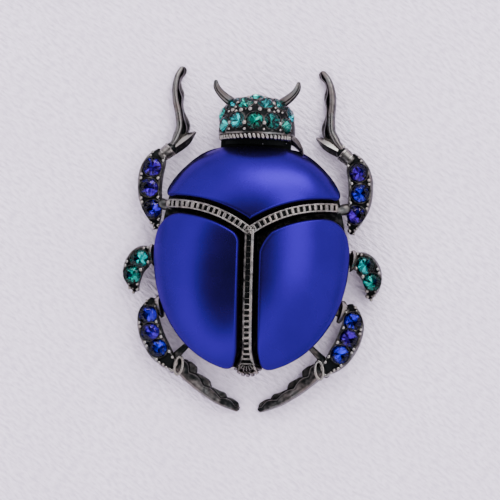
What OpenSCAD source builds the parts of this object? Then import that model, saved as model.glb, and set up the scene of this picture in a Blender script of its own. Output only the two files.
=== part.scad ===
// Scarab brooch, lying face up on its leg tips.
// +Y points to the head, +X to the right wing seen from the front, +Z out of the front.
// The origin lies on the resting plane, midway along and across the brooch.

/* [Body] */
// Widest part of the chest piece
chest_w = 27.5; // [26.8:0.1:28]
// Width across both wing pieces
wing_w = 28.4; // [27.8:0.1:29.2]
// From the origin forward to the chest's front edge
chest_front = 13.8; // [13:0.1:14.6]
// From the origin forward to the chest's widest line
chest_mid = 1.2; // [0.8:0.1:1.6]
// From the origin back to the wings' widest line
wing_mid = 2; // [1.5:0.1:2.5]
// From the origin back to the wings' rear edge
wing_rear = 19; // [18.4:0.1:19.6]
// Rise of the wings' outline ahead of their widest line
wing_shoulder = 12; // [11.4:0.1:12.6]
// Height of the body's dome above its rim
dome_h = 6.2; // [5.2:0.1:7.2]
// From the origin back to the dome's summit
dome_mid = 0.8; // [0:0.1:2]
// Upright edge of a blue piece below its dome
rim_wall = 0.35; // [0.2:0.05:0.6]
// Radius that rolls over the edge of a blue piece
edge_r = 0.5; // [0.35:0.05:0.6]
// Gap between a blue piece and the casting under it
seat_gap = 0.05; // [0.03:0.01:0.1]

/* [Rib] */
// From the origin forward to where the rib's arms meet
junction_y = 1.7; // [1.2:0.1:2.2]
// Rise of each arm from the junction to its outer end
arm_rise = 3.2; // [2.6:0.1:3.8]
// From the wings' outline in to the outer end of an arm
arm_inset = 1.5; // [1.2:0.1:1.8]
// Width of an arm
arm_w = 1.3; // [1:0.05:1.6]
// Width of the stem
stem_w = 1.45; // [1.1:0.05:1.8]
// Dark groove between an arm and the chest piece
chest_groove = 0.65; // [0.5:0.05:0.9]
// Dark groove between an arm and a wing piece
wing_groove = 1.15; // [0.9:0.05:1.4]
// Dark groove between the stem and a wing piece
stem_groove = 0.95; // [0.7:0.05:1.2]
// Height of the rib above the dome
rib_proud = 0.25; // [0.1:0.05:0.5]
// Width of each of the rib's two rails
rail_w = 0.36; // [0.28:0.02:0.44]
// Height of the rails above the channel between them
rail_h = 0.45; // [0.3:0.05:0.6]
// Distance from one cross tick to the next
tick_pitch = 0.72; // [0.64:0.02:0.9]
// Width of a cross tick
tick_w = 0.28; // [0.2:0.02:0.36]
// Length of the flared tail of the stem
tail_len = 3.8; // [3.2:0.1:4.4]
// How far each side of the tail flares out
tail_flare = 0.85; // [0.7:0.05:0.95]
// Length of the tail's flutes
flute_len = 1.78; // [1.6:0.02:1.9]

/* [Tray] */
// Underside of the tray above the resting plane
tray_z = 2.6; // [2.4:0.1:3]
// Thickness of the tray
tray_t = 1.4; // [1.3:0.1:1.8]
// Recess of the tray's top edge inside the blue pieces
tray_inset = 0.3; // [0.2:0.05:0.5]
// Draft of the tray's side
tray_draft = 0.7; // [0.4:0.1:1]
// Width of the rim around the hollow back
back_wall = 1.1; // [0.9:0.1:1.4]
// Depth of the hollow back
back_depth = 0.7; // [0.5:0.1:0.8]

/* [Stones] */
// Diameter of a leg stone
leg_stone_d = 2.4; // [2.2:0.05:2.5]
// Diameter of a head stone
head_stone_d = 2.1; // [1.9:0.05:2.15]
// Crown height above the girdle
crown_h = 0.4; // [0.3:0.05:0.5]
// Pavilion depth below the girdle
pavilion_h = 0.8; // [0.65:0.05:0.9]
// Width of the table as a share of the stone
table_share = 0.56; // [0.5:0.02:0.62]
// Clearance of a stone in its seat
stone_gap = 0.05; // [0.03:0.01:0.08]
// Radius of a prong bead
bead_r = 0.33; // [0.26:0.01:0.38]

/* [Legs] */
// Height of the thighs above the resting plane
thigh_top = 4; // [3.8:0.1:4.4]
// Length of a front thigh
front_thigh_len = 11; // [10.4:0.1:11.6]
// Reach of a front thigh beyond the arm's end
front_thigh_reach = 2.7; // [2.5:0.1:3]
// Width of a front thigh
front_thigh_w = 3.7; // [3.5:0.1:4]
// Length of a front shin
front_shin_len = 11.9; // [11:0.1:12.8]
// How far a front shin leans inward
front_shin_reach = 3.3; // [3:0.1:3.6]
// Width of a front shin
front_shin_w = 2; // [1.8:0.1:2.2]
// Both front shins lean to the left by this angle, about their middles
front_shin_lean = 5.5; // [0:0.5:7]
// Where the middle legs leave the body, behind the origin
mid_root = 2.4; // [2:0.1:3]
// Length of a middle leg along the body
mid_len = 5.3; // [5:0.1:5.8]
// Reach of a middle leg out from the body
mid_reach = 3.3; // [3.1:0.1:3.6]
// Width of a middle leg
mid_w = 3.4; // [3.2:0.1:3.7]
// Where the hind legs leave the body, behind the origin
hind_root = 9.7; // [9.3:0.1:10.1]
// Length of a hind thigh along the body
hind_thigh_len = 8.3; // [8:0.1:8.8]
// Reach of a hind thigh out from its root
hind_thigh_reach = 2.15; // [2:0.05:2.4]
// Width of a hind thigh
hind_thigh_w = 3.6; // [3.4:0.1:3.8]
// Length of a hind shin along the body
hind_shin_len = 6.6; // [6.2:0.1:7]
// Reach of a hind shin in towards the middle
hind_shin_reach = 9.2; // [8.8:0.1:9.6]
// Width of a hind shin
hind_shin_w = 3.1; // [2.8:0.1:3.3]

/* [Head] */
// Length of the neck between chest and head
neck_len = 1.6; // [1.1:0.1:1.8]
// Width of the neck
neck_w = 10.2; // [9.6:0.1:10.8]
// Height of the neck above the resting plane
neck_top = 6.6; // [6:0.1:7]
// Width of the head
head_w = 11.1; // [10.8:0.1:11.5]
// Length of the head
head_len = 5.8; // [5.5:0.1:6.1]
// Height of the head's top above the resting plane
head_top = 8.4; // [8:0.1:8.8]
// Underside of the head above the resting plane
head_base = 2.2; // [1.8:0.1:2.6]
// Radius of a rope bead
rope_r = 0.42; // [0.36:0.02:0.48]
// Rope beads along the head's rear edge
rope_count = 26; // [22:1:28]
// Reach of a horn out from its root
horn_reach = 2.35; // [2.1:0.05:2.7]
// Length of a horn forward from its root
horn_len = 3; // [2.7:0.1:3.3]
// Thickness of a horn at its root
horn_d = 1.3; // [1.1:0.1:1.5]

/* [Pin] */
// From the origin forward to the pin
pin_y = 5.6; // [5:0.1:6.4]
// Length of the pin's bar
bar_len = 20; // [18:0.5:20.5]
// Width of the bar
bar_w = 2.4; // [2:0.1:3]
// Thickness of the bar
bar_t = 0.6; // [0.5:0.05:0.7]
// Radius of the pin's stem
stem_r = 0.42; // [0.35:0.01:0.45]
// Height of the stem's axis above the resting plane
stem_z = 1.5; // [1.4:0.05:1.6]
// Radius of the hinge barrel and of the catch
barrel_r = 1.15; // [1.05:0.05:1.25]

/* [Hidden] */
chest_power = 2.3;
wing_power = 2.05;
dome_power = 2.15;
dome_roll = 0.6;
dome_margin = 0.45;
head_plan_power = 2.8;
head_arch_power = 2.3;
arm_bend = 2.4;
draft = 0.2;
min_wall = 0.25;
fine = 32;
coarse = 8;

tray_top = tray_z + tray_t;
seat_z = tray_top + seat_gap;
rim_z = seat_z + rim_wall;
arm_reach = wing_w / 2 - arm_inset;
arm_end_y = junction_y + arm_rise;
tail_start = -(wing_rear - tail_len - 0.1);
head_back = chest_front + neck_len;
head_mid_z = (head_base + head_top) / 2 - 2.3;
leg_stone_r = leg_stone_d / 2;
head_stone_r = head_stone_d / 2;

METAL = [0.27, 0.27, 0.28];
BLUE = [0.16, 0.2, 0.72];
SAPPHIRE = [0.1, 0.16, 0.75];
TEAL = [0, 0.6, 0.58];

// Curves of the body

// v to a power that keeps its sign
function signed_pow(v, e) = sign(v) * pow(abs(v), e);

// Half width of the wings' outline at y
function wing_edge(y) =
    let (semi = y > -wing_mid ? wing_shoulder : wing_rear - wing_mid)
    wing_w / 2 * pow(max(0, 1 - pow(abs(y + wing_mid) / semi, wing_power)), 1 / wing_power);

// Half width of the chest's outline at y
function chest_edge(y) =
    let (semi = chest_front - chest_mid)
    chest_w / 2 * pow(max(0, 1 - pow(abs(y - chest_mid) / semi, chest_power)), 1 / chest_power);

// Height of the common dome over the point p
function dome(p) =
    let (
        semi = (p[1] > -dome_mid ? chest_front + dome_mid : wing_rear - dome_mid) + dome_margin,
        fall = pow(abs(p[0]) / (wing_w / 2 + dome_margin), dome_power)
            + pow(abs(p[1] + dome_mid) / semi, dome_power)
    )
    rim_z + dome_h * pow(max(0, 1 - fall), dome_roll);

// Point on the right arm, moved d to its upper side; t runs from the junction to the outer end
function arm_point(t, d = 0) =
    let (
        left = max(0, 1 - t),
        slope = arm_rise * arm_bend * pow(left, arm_bend - 1) / arm_reach,
        side = [-slope, 1] / norm([-slope, 1])
    )
    [t * arm_reach, junction_y + arm_rise * (1 - pow(left, arm_bend))] + side * d;

// Extra half width of the stem's tail at y
function flare(y) = tail_flare * pow(max(0, (tail_start - y) / tail_len), 2);
function stem_half(y) = stem_w / 2 + flare(y);
function inner_edge(y) = stem_half(y) + stem_groove;

// Where f changes sign between a and b
function root_x(d, want, a, b, n = 24) =
    n == 0 ? (a + b) / 2
    : let (m = (a + b) / 2)
      arm_point(m, d)[0] < want ? root_x(d, want, m, b, n - 1) : root_x(d, want, a, m, n - 1);
function root_wing(d, a, b, n = 24) =
    n == 0 ? (a + b) / 2
    : let (m = (a + b) / 2, p = arm_point(m, d))
      p[0] < wing_edge(p[1]) ? root_wing(d, m, b, n - 1) : root_wing(d, a, m, n - 1);
function root_chest(d, a, b, n = 24) =
    n == 0 ? (a + b) / 2
    : let (m = (a + b) / 2, p = arm_point(m, d))
      p[0] < chest_edge(p[1]) ? root_chest(d, m, b, n - 1) : root_chest(d, a, m, n - 1);

// Round corner c between the points a and b, in n steps
function bend(a, c, b, n) =
    [for (k = [0:n]) let (u = k / n) a * (1 - u) * (1 - u) + c * 2 * u * (1 - u) + b * u * u];

// Counter-clockwise outline of the chest piece
chest_d = arm_w / 2 + chest_groove;
chest_tip_t = root_x(chest_d, 0, 0, 0.3);
chest_corner_t = root_chest(chest_d, 0.6, 1.2);
chest_corner = arm_point(chest_corner_t, chest_d);
chest_turn = acos(pow(chest_corner[0] / (chest_w / 2), chest_power / 2));
function mirrored(points) = [for (i = [len(points) - 1:-1:0]) [-points[i][0], points[i][1]]];
function inside_of(points) = [for (i = [1:len(points) - 2]) points[i]];
chest_trim = 8;
chest_low = [for (k = [1:7]) arm_point(chest_tip_t + (chest_corner_t - chest_tip_t) * k / 8, chest_d)];
chest_arc = [for (k = [0:16])
    let (a = chest_turn + chest_trim + (180 - 2 * (chest_turn + chest_trim)) * k / 16)
    [chest_w / 2 * signed_pow(cos(a), 2 / chest_power),
     chest_mid + (chest_front - chest_mid) * pow(sin(a), 2 / chest_power)]];
chest_bend = inside_of(bend(chest_low[6], chest_corner, chest_arc[0], 4));
chest_outline = concat(
    mirrored(concat(chest_low, chest_bend)),
    [arm_point(chest_tip_t, chest_d)],
    chest_low, chest_bend, chest_arc);

// Counter-clockwise outline of the right wing piece
wing_d = -(arm_w / 2 + wing_groove);
inner_r = 1.2;
shoulder_r = 2.6;
rear_r = 1.5;
wing_inner_t = root_x(wing_d, inner_edge(0), 0, 0.4);
wing_outer_t = root_wing(wing_d, 0.6, 1.3);
inner_corner = arm_point(wing_inner_t, wing_d);
shoulder_corner = arm_point(wing_outer_t, wing_d);
function wing_at(a) =
    let (semi = a > 0 ? wing_shoulder : wing_rear - wing_mid)
    [wing_w / 2 * pow(cos(a), 2 / wing_power), -wing_mid + semi * signed_pow(sin(a), 2 / wing_power)];
function turn_at_x(x) = -acos(pow(x / (wing_w / 2), wing_power / 2));
rear_x = inner_edge(-wing_rear + 0.4);
rear_corner = wing_at(turn_at_x(rear_x));
rear_turn = turn_at_x(rear_x + rear_r);
shoulder_turn = asin(pow((shoulder_corner[1] - shoulder_r + wing_mid) / wing_shoulder, wing_power / 2));
wing_inner = [for (k = [0:7])
    let (y = inner_corner[1] - inner_r + (rear_corner[1] + rear_r - inner_corner[1] + inner_r) * k / 7)
    [inner_edge(y), y]];
wing_upper = [for (k = [0:6])
    arm_point(wing_outer_t - shoulder_r / arm_reach
        + (wing_inner_t - wing_outer_t + (inner_r + shoulder_r) / arm_reach) * k / 6, wing_d)];
wing_outer = [for (k = [0:12]) wing_at(rear_turn + (shoulder_turn - rear_turn) * k / 12)];
wing_outline = concat(
    inside_of(wing_inner), bend(wing_inner[7], rear_corner, wing_outer[0], 3),
    inside_of(wing_outer), bend(wing_outer[12], shoulder_corner, wing_upper[0], 4),
    inside_of(wing_upper), bend(wing_upper[6], inner_corner, wing_inner[0], 3));

// Skins and limbs

// Closed skin through a stack of rings, each counter-clockwise seen from the last one;
// wide caps fan out from their middles
module skin(rings, wide_caps = false) {
    n = len(rings[0]);
    last = len(rings) - 1;
    function middle(points) = [for (p = points) 1] * points / len(points);
    points = concat([for (ring = rings) each ring], wide_caps ? [middle(rings[0]), middle(rings[last])] : []);
    hub = len(rings) * n;
    sides = [for (i = [0:last - 1], k = [0:n - 1])
        let (a = i * n + k, b = i * n + (k + 1) % n)
        each [[a, a + n, b + n], [a, b + n, b]]];
    caps = wide_caps
        ? [for (k = [0:n - 1]) each [[k, (k + 1) % n, hub], [last * n + (k + 1) % n, last * n + k, hub + 1]]]
        : [[for (k = [0:n - 1]) k], [for (k = [n - 1:-1:0]) last * n + k]];
    polyhedron(points, concat(sides, caps), convexity = 8);
}

// Row between the rows of a table, on a smooth curve through them
function row_at(rows, f) =
    let (
        i = min(floor(f), len(rows) - 2), u = f - i,
        a = rows[max(i - 1, 0)], b = rows[i], c = rows[i + 1], d = rows[min(i + 2, len(rows) - 1)]
    )
    b + u / 2 * (c - a + u * (2 * a - 5 * b + 4 * c - d + u * (3 * (b - c) + d - a)));
function refined(rows, steps) = [for (i = [0:(len(rows) - 1) * steps]) row_at(rows, i / steps)];

// Direction of travel at row i of a limb
function travel(rows, i) =
    let (a = rows[max(i - 1, 0)], b = rows[min(i + 1, len(rows) - 1)], v = [b[0] - a[0], b[1] - a[1]])
    v / norm(v);

// Limb through rows of [x, y, half width, low, top]; the profile runs from -1 to 1 across and 0 to 1 up
function limb_ring(rows, i, profile) =
    let (t = travel(rows, i), r = rows[i])
    [for (p = profile) [r[0] - t[1] * p[0] * r[2], r[1] + t[0] * p[0] * r[2], r[3] + (r[4] - r[3]) * p[1]]];
module limb(rows, profile) {
    skin([for (i = [0:len(rows) - 1]) limb_ring(rows, i, profile)]);
}

// Table rows of [run, out, width, low, top] shares, placed from root
function placed(table, root, len, reach, width, height) =
    [for (r = table)
        [root[0] + r[1] * reach, root[1] + r[0] * len, r[2] * width / 2, r[3] * height, r[4] * height]];

THIGH = [[-0.7, 0], [0.7, 0], [1, 0.5], [0.72, 1], [-0.72, 1], [-1, 0.5]];
ROUND = [for (k = [0:7]) [cos(45 * k - 67.5), 0.5 + sin(45 * k - 67.5) / 2]];
// A low shelf on one side and a ridge on the other
RIDGED = [[-0.85, 0], [0.85, 0], [1, 0.45], [0.82, 0.9], [0.5, 1], [0.12, 0.62], [-0.55, 0.6], [-1, 0.3]];
RIDGED_LEFT = [for (i = [1, 0, 7, 6, 5, 4, 3, 2]) [-RIDGED[i][0], RIDGED[i][1]]];

module both_sides() {
    children();
    mirror([1, 0, 0]) children();
}

module ball(p, r) {
    translate(p) sphere(r, $fn = coarse);
}

function ring(r, z, n) = [for (k = [0:n - 1]) [r * cos(360 * k / n), r * sin(360 * k / n), z]];

// Eight-sided bar from p to q, whose radius goes from r to s
module arm(p, q, r, s) {
    limb([[p[0], p[1], r, p[2] - r, p[2] + r], [q[0], q[1], s, q[2] - s, q[2] + s]], ROUND);
}

// Stones and their seats: a seat is [point on the girdle plane, outward direction]

module at_seat(seat) {
    n = seat[1] / norm(seat[1]);
    axis = abs(n[2]) > 0.9999 ? [1, 0, 0] : [-n[1], n[0], 0];
    translate(seat[0]) rotate(a = acos(n[2]), v = axis) children();
}

// Cut stone with a table, 24 crown facets and a pointed pavilion
module stone(seat, r) {
    table = [for (k = [0:7]) [cos(45 * k) * r * table_share, sin(45 * k) * r * table_share, crown_h]];
    girdle = [for (k = [0:15]) [cos(22.5 * k) * r, sin(22.5 * k) * r, 0]];
    crown = [for (k = [0:7])
        let (a = k, b = (k + 1) % 8, g = 8 + 2 * k, h = g + 1, i = 8 + (2 * k + 2) % 16)
        each [[a, h, g], [a, b, h], [b, i, h]]];
    pavilion = [for (k = [0:15]) [8 + k, 8 + (k + 1) % 16, 24]];
    at_seat(seat)
        polyhedron(concat(table, girdle, [[0, 0, -pavilion_h]]),
            concat([[for (k = [7:-1:0]) k]], crown, pavilion));
}

// Small dome that holds the stones beside it
module bead(seat) {
    at_seat(seat) skin([ring(bead_r * 1.1, -bead_r, 6), ring(bead_r * 0.65, bead_r * 0.9, 6)]);
}

// The space a stone needs, with its clearance
module seat_cut(seat, r) {
    wide = r + stone_gap;
    at_seat(seat)
        rotate_extrude($fn = 16)
            polygon([
                [0, -pavilion_h * wide / r - stone_gap],
                [wide, -stone_gap],
                [wide, crown_h + bead_r],
                [0, crown_h + bead_r]]);
}

// Body of the casting

module body_plan() {
    hull() {
        polygon(chest_outline);
        polygon(wing_outline);
        mirror([1, 0]) polygon(wing_outline);
    }
}

module tray() {
    difference() {
        hull() {
            translate([0, 0, tray_z])
                linear_extrude(min_wall) offset(delta = -tray_inset - tray_draft) body_plan();
            translate([0, 0, tray_top - min_wall])
                linear_extrude(min_wall) offset(delta = -tray_inset) body_plan();
        }
        translate([0, 0, tray_z - 1])
            linear_extrude(1 + back_depth) offset(delta = -tray_inset - tray_draft - back_wall) body_plan();
    }
}

// Rows of the rib: x, y, half width, underside and top
rib_low = tray_top - draft;
function arm_row(t) = let (p = arm_point(t)) [p[0], p[1], arm_w / 2, rib_low, dome(p) + rib_proud];
function stem_row(y) = [0, y, stem_half(y), rib_low, dome([0, y]) + rib_proud];
stem_end = -(wing_rear - 0.1);
arm_steps = 7;
stem_steps = 9;
arm_ticks = floor(arm_reach / tick_pitch);
stem_ticks = floor((junction_y - stem_end) / tick_pitch);

// Channel with a rail along each side
module channel(rows) {
    skin([for (i = [0:len(rows) - 1])
        let (r = rows[i], t = travel(rows, i), inner = r[2] - rail_w, floor_z = r[4] - rail_h)
        [for (p = [[-r[2], r[3]], [r[2], r[3]], [r[2], r[4]], [inner, r[4]], [inner, floor_z], [-inner, floor_z],
                [-inner, r[4]], [-r[2], r[4]]])
            [r[0] - t[1] * p[0], r[1] + t[0] * p[0], p[1]]]]);
}

// Cross tick between the rails, from row a to row b
tick_sink = 0.12;
TICK = [[-1, 0], [1, 0], [1, 1], [-1, 1]];
module tick(a, b) {
    limb([for (r = [a, b])
        [r[0], r[1], r[2] - rail_w + tick_sink, r[4] - rail_h - tick_sink, r[4] - tick_sink]], TICK);
}

module rib() {
    both_sides() {
        channel([for (k = [0:arm_steps]) arm_row(k / arm_steps)]);
        for (k = [1:arm_ticks])
            let (t = (k - 0.1) / arm_ticks, half = tick_w / arm_reach / 2)
            tick(arm_row(t - half), arm_row(t + half));
    }
    channel([for (k = [0:stem_steps]) stem_row(junction_y + 0.3 + (stem_end - junction_y) * k / stem_steps)]);
    for (k = [1:stem_ticks])
        let (y = junction_y + (stem_end - junction_y) * (k - 0.2) / stem_ticks)
        tick(stem_row(y + tick_w / 2), stem_row(y - tick_w / 2));
}

// Fluted fan that closes the tail
FLUTE = [[-1, 0], [1, 0], [1, 0.85], [0.45, 1], [-0.45, 1], [-1, 0.85]];
flute_rows = [ // along, width, height
    [0.42, 1.00, 1.00],
    [0.80, 1.00, 0.90],
    [1.08, 1.00, 0.66],
    [1.26, 0.60, 0.34]];
fan_turn = 19;
flute_fill = 0.82;

module tail_fan() {
    hub = [0, stem_end + flute_len * 0.9];
    low = tray_z + back_depth;
    high = dome(hub) + rib_proud;
    for (a = [-3 * fan_turn:fan_turn:3 * fan_turn])
        limb([for (r = flute_rows)
            let (p = hub + [sin(a), -cos(a)] * flute_len * r[0])
            [p[0], p[1], flute_len * r[0] * tan(fan_turn / 2) * flute_fill * r[1],
             low + 0.2, tray_top + (high - tray_top) * r[2]]], FLUTE);
    // Sloping body under the flutes
    function fan(reach, z) = concat(
        [for (a = [-80:20:80]) [sin(a) * reach, hub[1] - cos(a) * reach, z]],
        [[reach * 0.7, hub[1] + 0.9, z], [-reach * 0.7, hub[1] + 0.9, z]]);
    skin([fan(flute_len * 1.16, low), fan(flute_len * 1.12, tray_top + 0.2), fan(flute_len * 0.7, high - 0.7)]);
}

// Limbs of the casting

front_thigh = [ // run, out, width, low, top
    [-0.29, 0.56, 0.19, 0.42, 0.65],
    [-0.19, 0.65, 0.46, 0.32, 0.82],
    [-0.045, 0.80, 0.78, 0.27, 0.93],
    [0.11, 0.95, 0.95, 0.25, 1.00],
    [0.28, 1.00, 1.00, 0.25, 1.00],
    [0.445, 0.93, 1.00, 0.25, 1.00],
    [0.60, 0.70, 0.84, 0.26, 0.95],
    [0.71, 0.43, 0.51, 0.28, 0.82]];
front_shin = [
    [-0.03, -0.10, 0.50, 0.24, 0.74],
    [0.05, -0.25, 0.68, 0.23, 0.74],
    [0.15, -0.53, 1.00, 0.20, 0.70],
    [0.28, -0.73, 1.00, 0.16, 0.64],
    [0.445, -0.71, 0.95, 0.12, 0.60],
    [0.61, -0.62, 0.89, 0.08, 0.55],
    [0.75, -0.62, 0.83, 0.04, 0.48],
    [0.875, -0.73, 0.67, 0.01, 0.38],
    [0.985, -0.94, 0.36, 0.00, 0.25]];
front_spur = [
    [0.04, -0.20, 1.00, 0.22, 0.72],
    [0.13, -0.80, 0.92, 0.22, 0.68],
    [0.21, -1.27, 0.20, 0.26, 0.52]];
mid_leg = [
    [-0.04, -0.35, 0.53, 0.52, 0.92],
    [-0.02, 0.21, 0.76, 0.30, 0.94],
    [0.04, 0.55, 1.00, 0.22, 1.00],
    [0.23, 0.85, 1.00, 0.16, 1.00],
    [0.47, 0.985, 0.88, 0.10, 0.96],
    [0.72, 0.985, 0.65, 0.03, 0.78],
    [0.96, 0.88, 0.26, 0.00, 0.42]];
hind_thigh = [
    [-0.10, 0.72, 0.39, 0.40, 0.78],
    [0.06, 0.93, 0.73, 0.30, 0.94],
    [0.23, 1.00, 0.92, 0.26, 1.00],
    [0.41, 0.86, 1.00, 0.24, 1.00],
    [0.60, 0.56, 1.00, 0.22, 1.00],
    [0.78, 0.14, 0.94, 0.20, 0.96],
    [0.93, -0.35, 0.75, 0.18, 0.90],
    [1.00, -0.67, 0.55, 0.18, 0.80]];
hind_shin = [
    [0.02, -0.125, 1.00, 0.16, 0.74],
    [0.22, -0.24, 0.84, 0.14, 0.72],
    [0.44, -0.42, 0.77, 0.10, 0.66],
    [0.67, -0.64, 0.65, 0.06, 0.58],
    [0.81, -0.85, 0.62, 0.02, 0.46],
    [0.94, -1.00, 0.36, 0.00, 0.28]];

front_root = [arm_reach, arm_end_y];
front_thigh_rows =
    placed(front_thigh, front_root, front_thigh_len, front_thigh_reach, front_thigh_w, thigh_top);
front_knee = [front_thigh_rows[7][0] - 0.7, front_thigh_rows[7][1]];
front_shin_rows = placed(front_shin, front_knee, front_shin_len, front_shin_reach, front_shin_w, thigh_top);
front_spur_rows = placed(front_spur, front_knee, front_shin_len, front_shin_reach, front_shin_w, thigh_top);
front_pivot = [front_knee[0] - front_shin_reach * 0.6, front_knee[1] + front_shin_len / 2];
mid_leg_root = [wing_edge(-mid_root), -mid_root];
mid_leg_rows = placed(mid_leg, mid_leg_root, -mid_len, mid_reach, mid_w, thigh_top);
hind_leg_root = [wing_edge(-hind_root), -hind_root];
hind_thigh_rows =
    placed(hind_thigh, hind_leg_root, -hind_thigh_len, hind_thigh_reach, hind_thigh_w, thigh_top);
hind_knee = [hind_thigh_rows[7][0] - 0.55, hind_thigh_rows[7][1]];
hind_shin_rows = placed(hind_shin, hind_knee, -hind_shin_len, hind_shin_reach, hind_shin_w, thigh_top);

// Stations of the stones and, between them, of the beads, counted in rows of each table
front_stones = [1.95, 3.72, 5.38];
front_beads = [1.0, 2.84, 4.55, 6.3];
mid_stones = [2.4, 4.34];
mid_beads = [1.35, 3.4, 5.35];
hind_stones = [1.62, 3.3, 4.8];
hind_beads = [0.6, 2.46, 4.05, 5.7];

girdle_drop = 0.06;
function leg_seat(rows, f) = let (r = row_at(rows, f)) [[r[0], r[1], r[4] - girdle_drop], [0, 0, 1]];
function turned(seat, side) = [for (v = seat) [v[0] * side, v[1], v[2]]];

module leg_beads(rows, stations) {
    fine_rows = refined(rows, 4);
    for (f = stations)
        let (
            r = row_at(rows, f),
            t = travel(fine_rows, round(f * 4)),
            side = [-t[1], t[0]] * min(0.8, r[2] * 0.62)
        )
        for (s = [-1, 1])
            bead([[r[0] + s * side[0], r[1] + s * side[1], r[4] - 0.1], [0, 0, 1]]);
}

// Oval collar with a slot, around the knee at p and turned by angle
module knee(p, angle, length, width, z) {
    translate([p[0], p[1], z]) rotate(angle) difference() {
        hull() {
            ball([-length / 2 + width / 2, 0, 0], width / 2);
            ball([length / 2 - width / 2, 0, 0], width / 2);
        }
        translate([-length * 0.3, -width * 0.14, width * 0.26]) cube([length * 0.6, width * 0.28, width]);
    }
}

module front_leg() {
    limb(front_thigh_rows, THIGH);
    leg_beads(front_thigh_rows, front_beads);
    thigh = front_thigh_rows[2];
    inner_end = [front_root[0] - 1, front_root[1] - 0.1, tray_top - 0.5];
    arm(inner_end, [thigh[0], front_root[1], tray_top - 0.9], 0.5, 0.9);
    knee([front_knee[0] + 0.1, front_knee[1] + 0.2], 10, 3.1, 1.8, 2.5);
}

module front_shins() {
    for (side = [1, -1])
        translate([side * front_pivot[0], front_pivot[1], 0]) rotate(front_shin_lean) scale([side, 1, 1])
            translate([-front_pivot[0], -front_pivot[1], 0]) {
                limb(front_shin_rows, RIDGED_LEFT);
                limb(front_spur_rows, ROUND);
            }
}

module mid_leg() {
    limb(mid_leg_rows, THIGH);
    leg_beads(mid_leg_rows, mid_beads);
    x = mid_leg_root[0] + 0.85;
    arm([x, -mid_root + 0.95, tray_top - 0.15], [x - 0.2, -mid_root - 1.3, tray_top - 0.2], 0.42, 0.3);
}

module hind_leg() {
    limb(hind_thigh_rows, THIGH);
    leg_beads(hind_thigh_rows, hind_beads);
    // Lug along the body's edge and the arm under it
    high = [wing_edge(-hind_root + 1) + 0.65, -hind_root + 1, tray_top - 0.3];
    low = [wing_edge(-hind_root - 1.3) + 0.75, -hind_root - 1.3, tray_top - 0.5];
    arm(high, low, 0.5, 0.42);
    inner_end = [hind_leg_root[0] - 1.2, hind_leg_root[1], tray_top - 0.75];
    arm(inner_end, [hind_leg_root[0] + 1.4, hind_leg_root[1] - 0.2, tray_top - 1.2], 0.55, 0.8);
    // Strut from the knee to the body
    strut_y = -hind_root - 5.3;
    strut_end = [hind_knee[0] + 0.1, hind_knee[1] + 1, tray_top - 1.5];
    arm([wing_edge(strut_y) - 0.8, strut_y + 0.3, tray_top - 0.7], strut_end, 0.4, 0.6);
    knee(hind_knee, 118, 3.1, 1.6, 2.1);
    limb(hind_shin_rows, RIDGED);
    // Scallops along the shin's inner edge
    for (f = [0.4, 1.7, 2.8, 3.8])
        let (r = row_at(hind_shin_rows, f))
        translate([r[0] - r[2] * 0.42, r[1] + r[2] * 0.62, r[3]])
            cylinder(h = (r[4] - r[3]) * 0.45, r1 = r[2] * 0.66, r2 = r[2] * 0.52, $fn = coarse);
}

// Head of the casting

head_zs = head_top - head_mid_z;
function head_point(a, b, grow = 0) =
    let (s = pow(max(0, cos(b)), 2 / head_plan_power))
    [(head_w / 2 + grow) * s * signed_pow(sin(a), 2 / head_arch_power),
     head_back + (head_len + grow) * signed_pow(sin(b), 2 / head_plan_power),
     head_mid_z + (head_zs + grow) * s * pow(max(0, cos(a)), 2 / head_arch_power)];
function head_normal(a, b) =
    let (
        across = head_point(a + 1, b) - head_point(a - 1, b),
        along = head_point(a, b + 1) - head_point(a, b - 1),
        n = cross(across, along)
    )
    n / norm(n);
function head_seat(angles) =
    let (p = head_point(angles[0], angles[1]), n = head_normal(angles[0], angles[1]))
    [p - n * girdle_drop, n];

// Turn over the head and angle forward of each stone
head_stones = [
    [0, 12], [25, 12], [-25, 12], [54, 8], [-54, 8], [71, 25], [-71, 25],
    [17, 46], [-17, 46], [50, 44], [-50, 44], [0, 68]];
head_beads = [
    [12.5, 9], [-12.5, 9], [39, 9], [-39, 9], [6, 30], [-6, 30], [20, 28], [-20, 28],
    [37, 28], [-37, 28], [0, 44.5], [33, 44], [-33, 44], [20, 66], [-20, 66]];

module head_shell() {
    turns = [for (k = [0:16]) -90 + k * 11.25];
    skin([for (b = [0, 8, 18, 30, 42, 54, 66, 76, 84])
        let (edge = head_point(90, b))
        concat(
            [for (a = turns) head_point(a, b)],
            [[edge[0], edge[1], head_base], [-edge[0], edge[1], head_base]])]);
}

// Twisted rope over the rear edge of the head, one swelling per bead
rope_slant = 0.5;
module rope() {
    wide = head_w / 2 - rope_r * 0.9;
    high = head_zs - rope_r * 0.7;
    skin([for (k = [0:2 * rope_count])
        let (
            a = -90 + 90 * k / rope_count,
            r = rope_r * (k % 2 == 0 ? 0.6 : 1),
            along = [cos(a), 0, -sin(a)],
            out = [sin(a) * high, 0, cos(a) * wide] / norm([sin(a) * high, cos(a) * wide]),
            p = [wide * sin(a), head_back - rope_r * 0.7, head_mid_z + high * cos(a)]
        )
        [for (j = [0:6])
            let (c = cos(j * 360 / 7), d = sin(j * 360 / 7))
            p + r * (c * [0, 1, 0] + d * out + c * rope_slant * along)]]);
}

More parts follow.
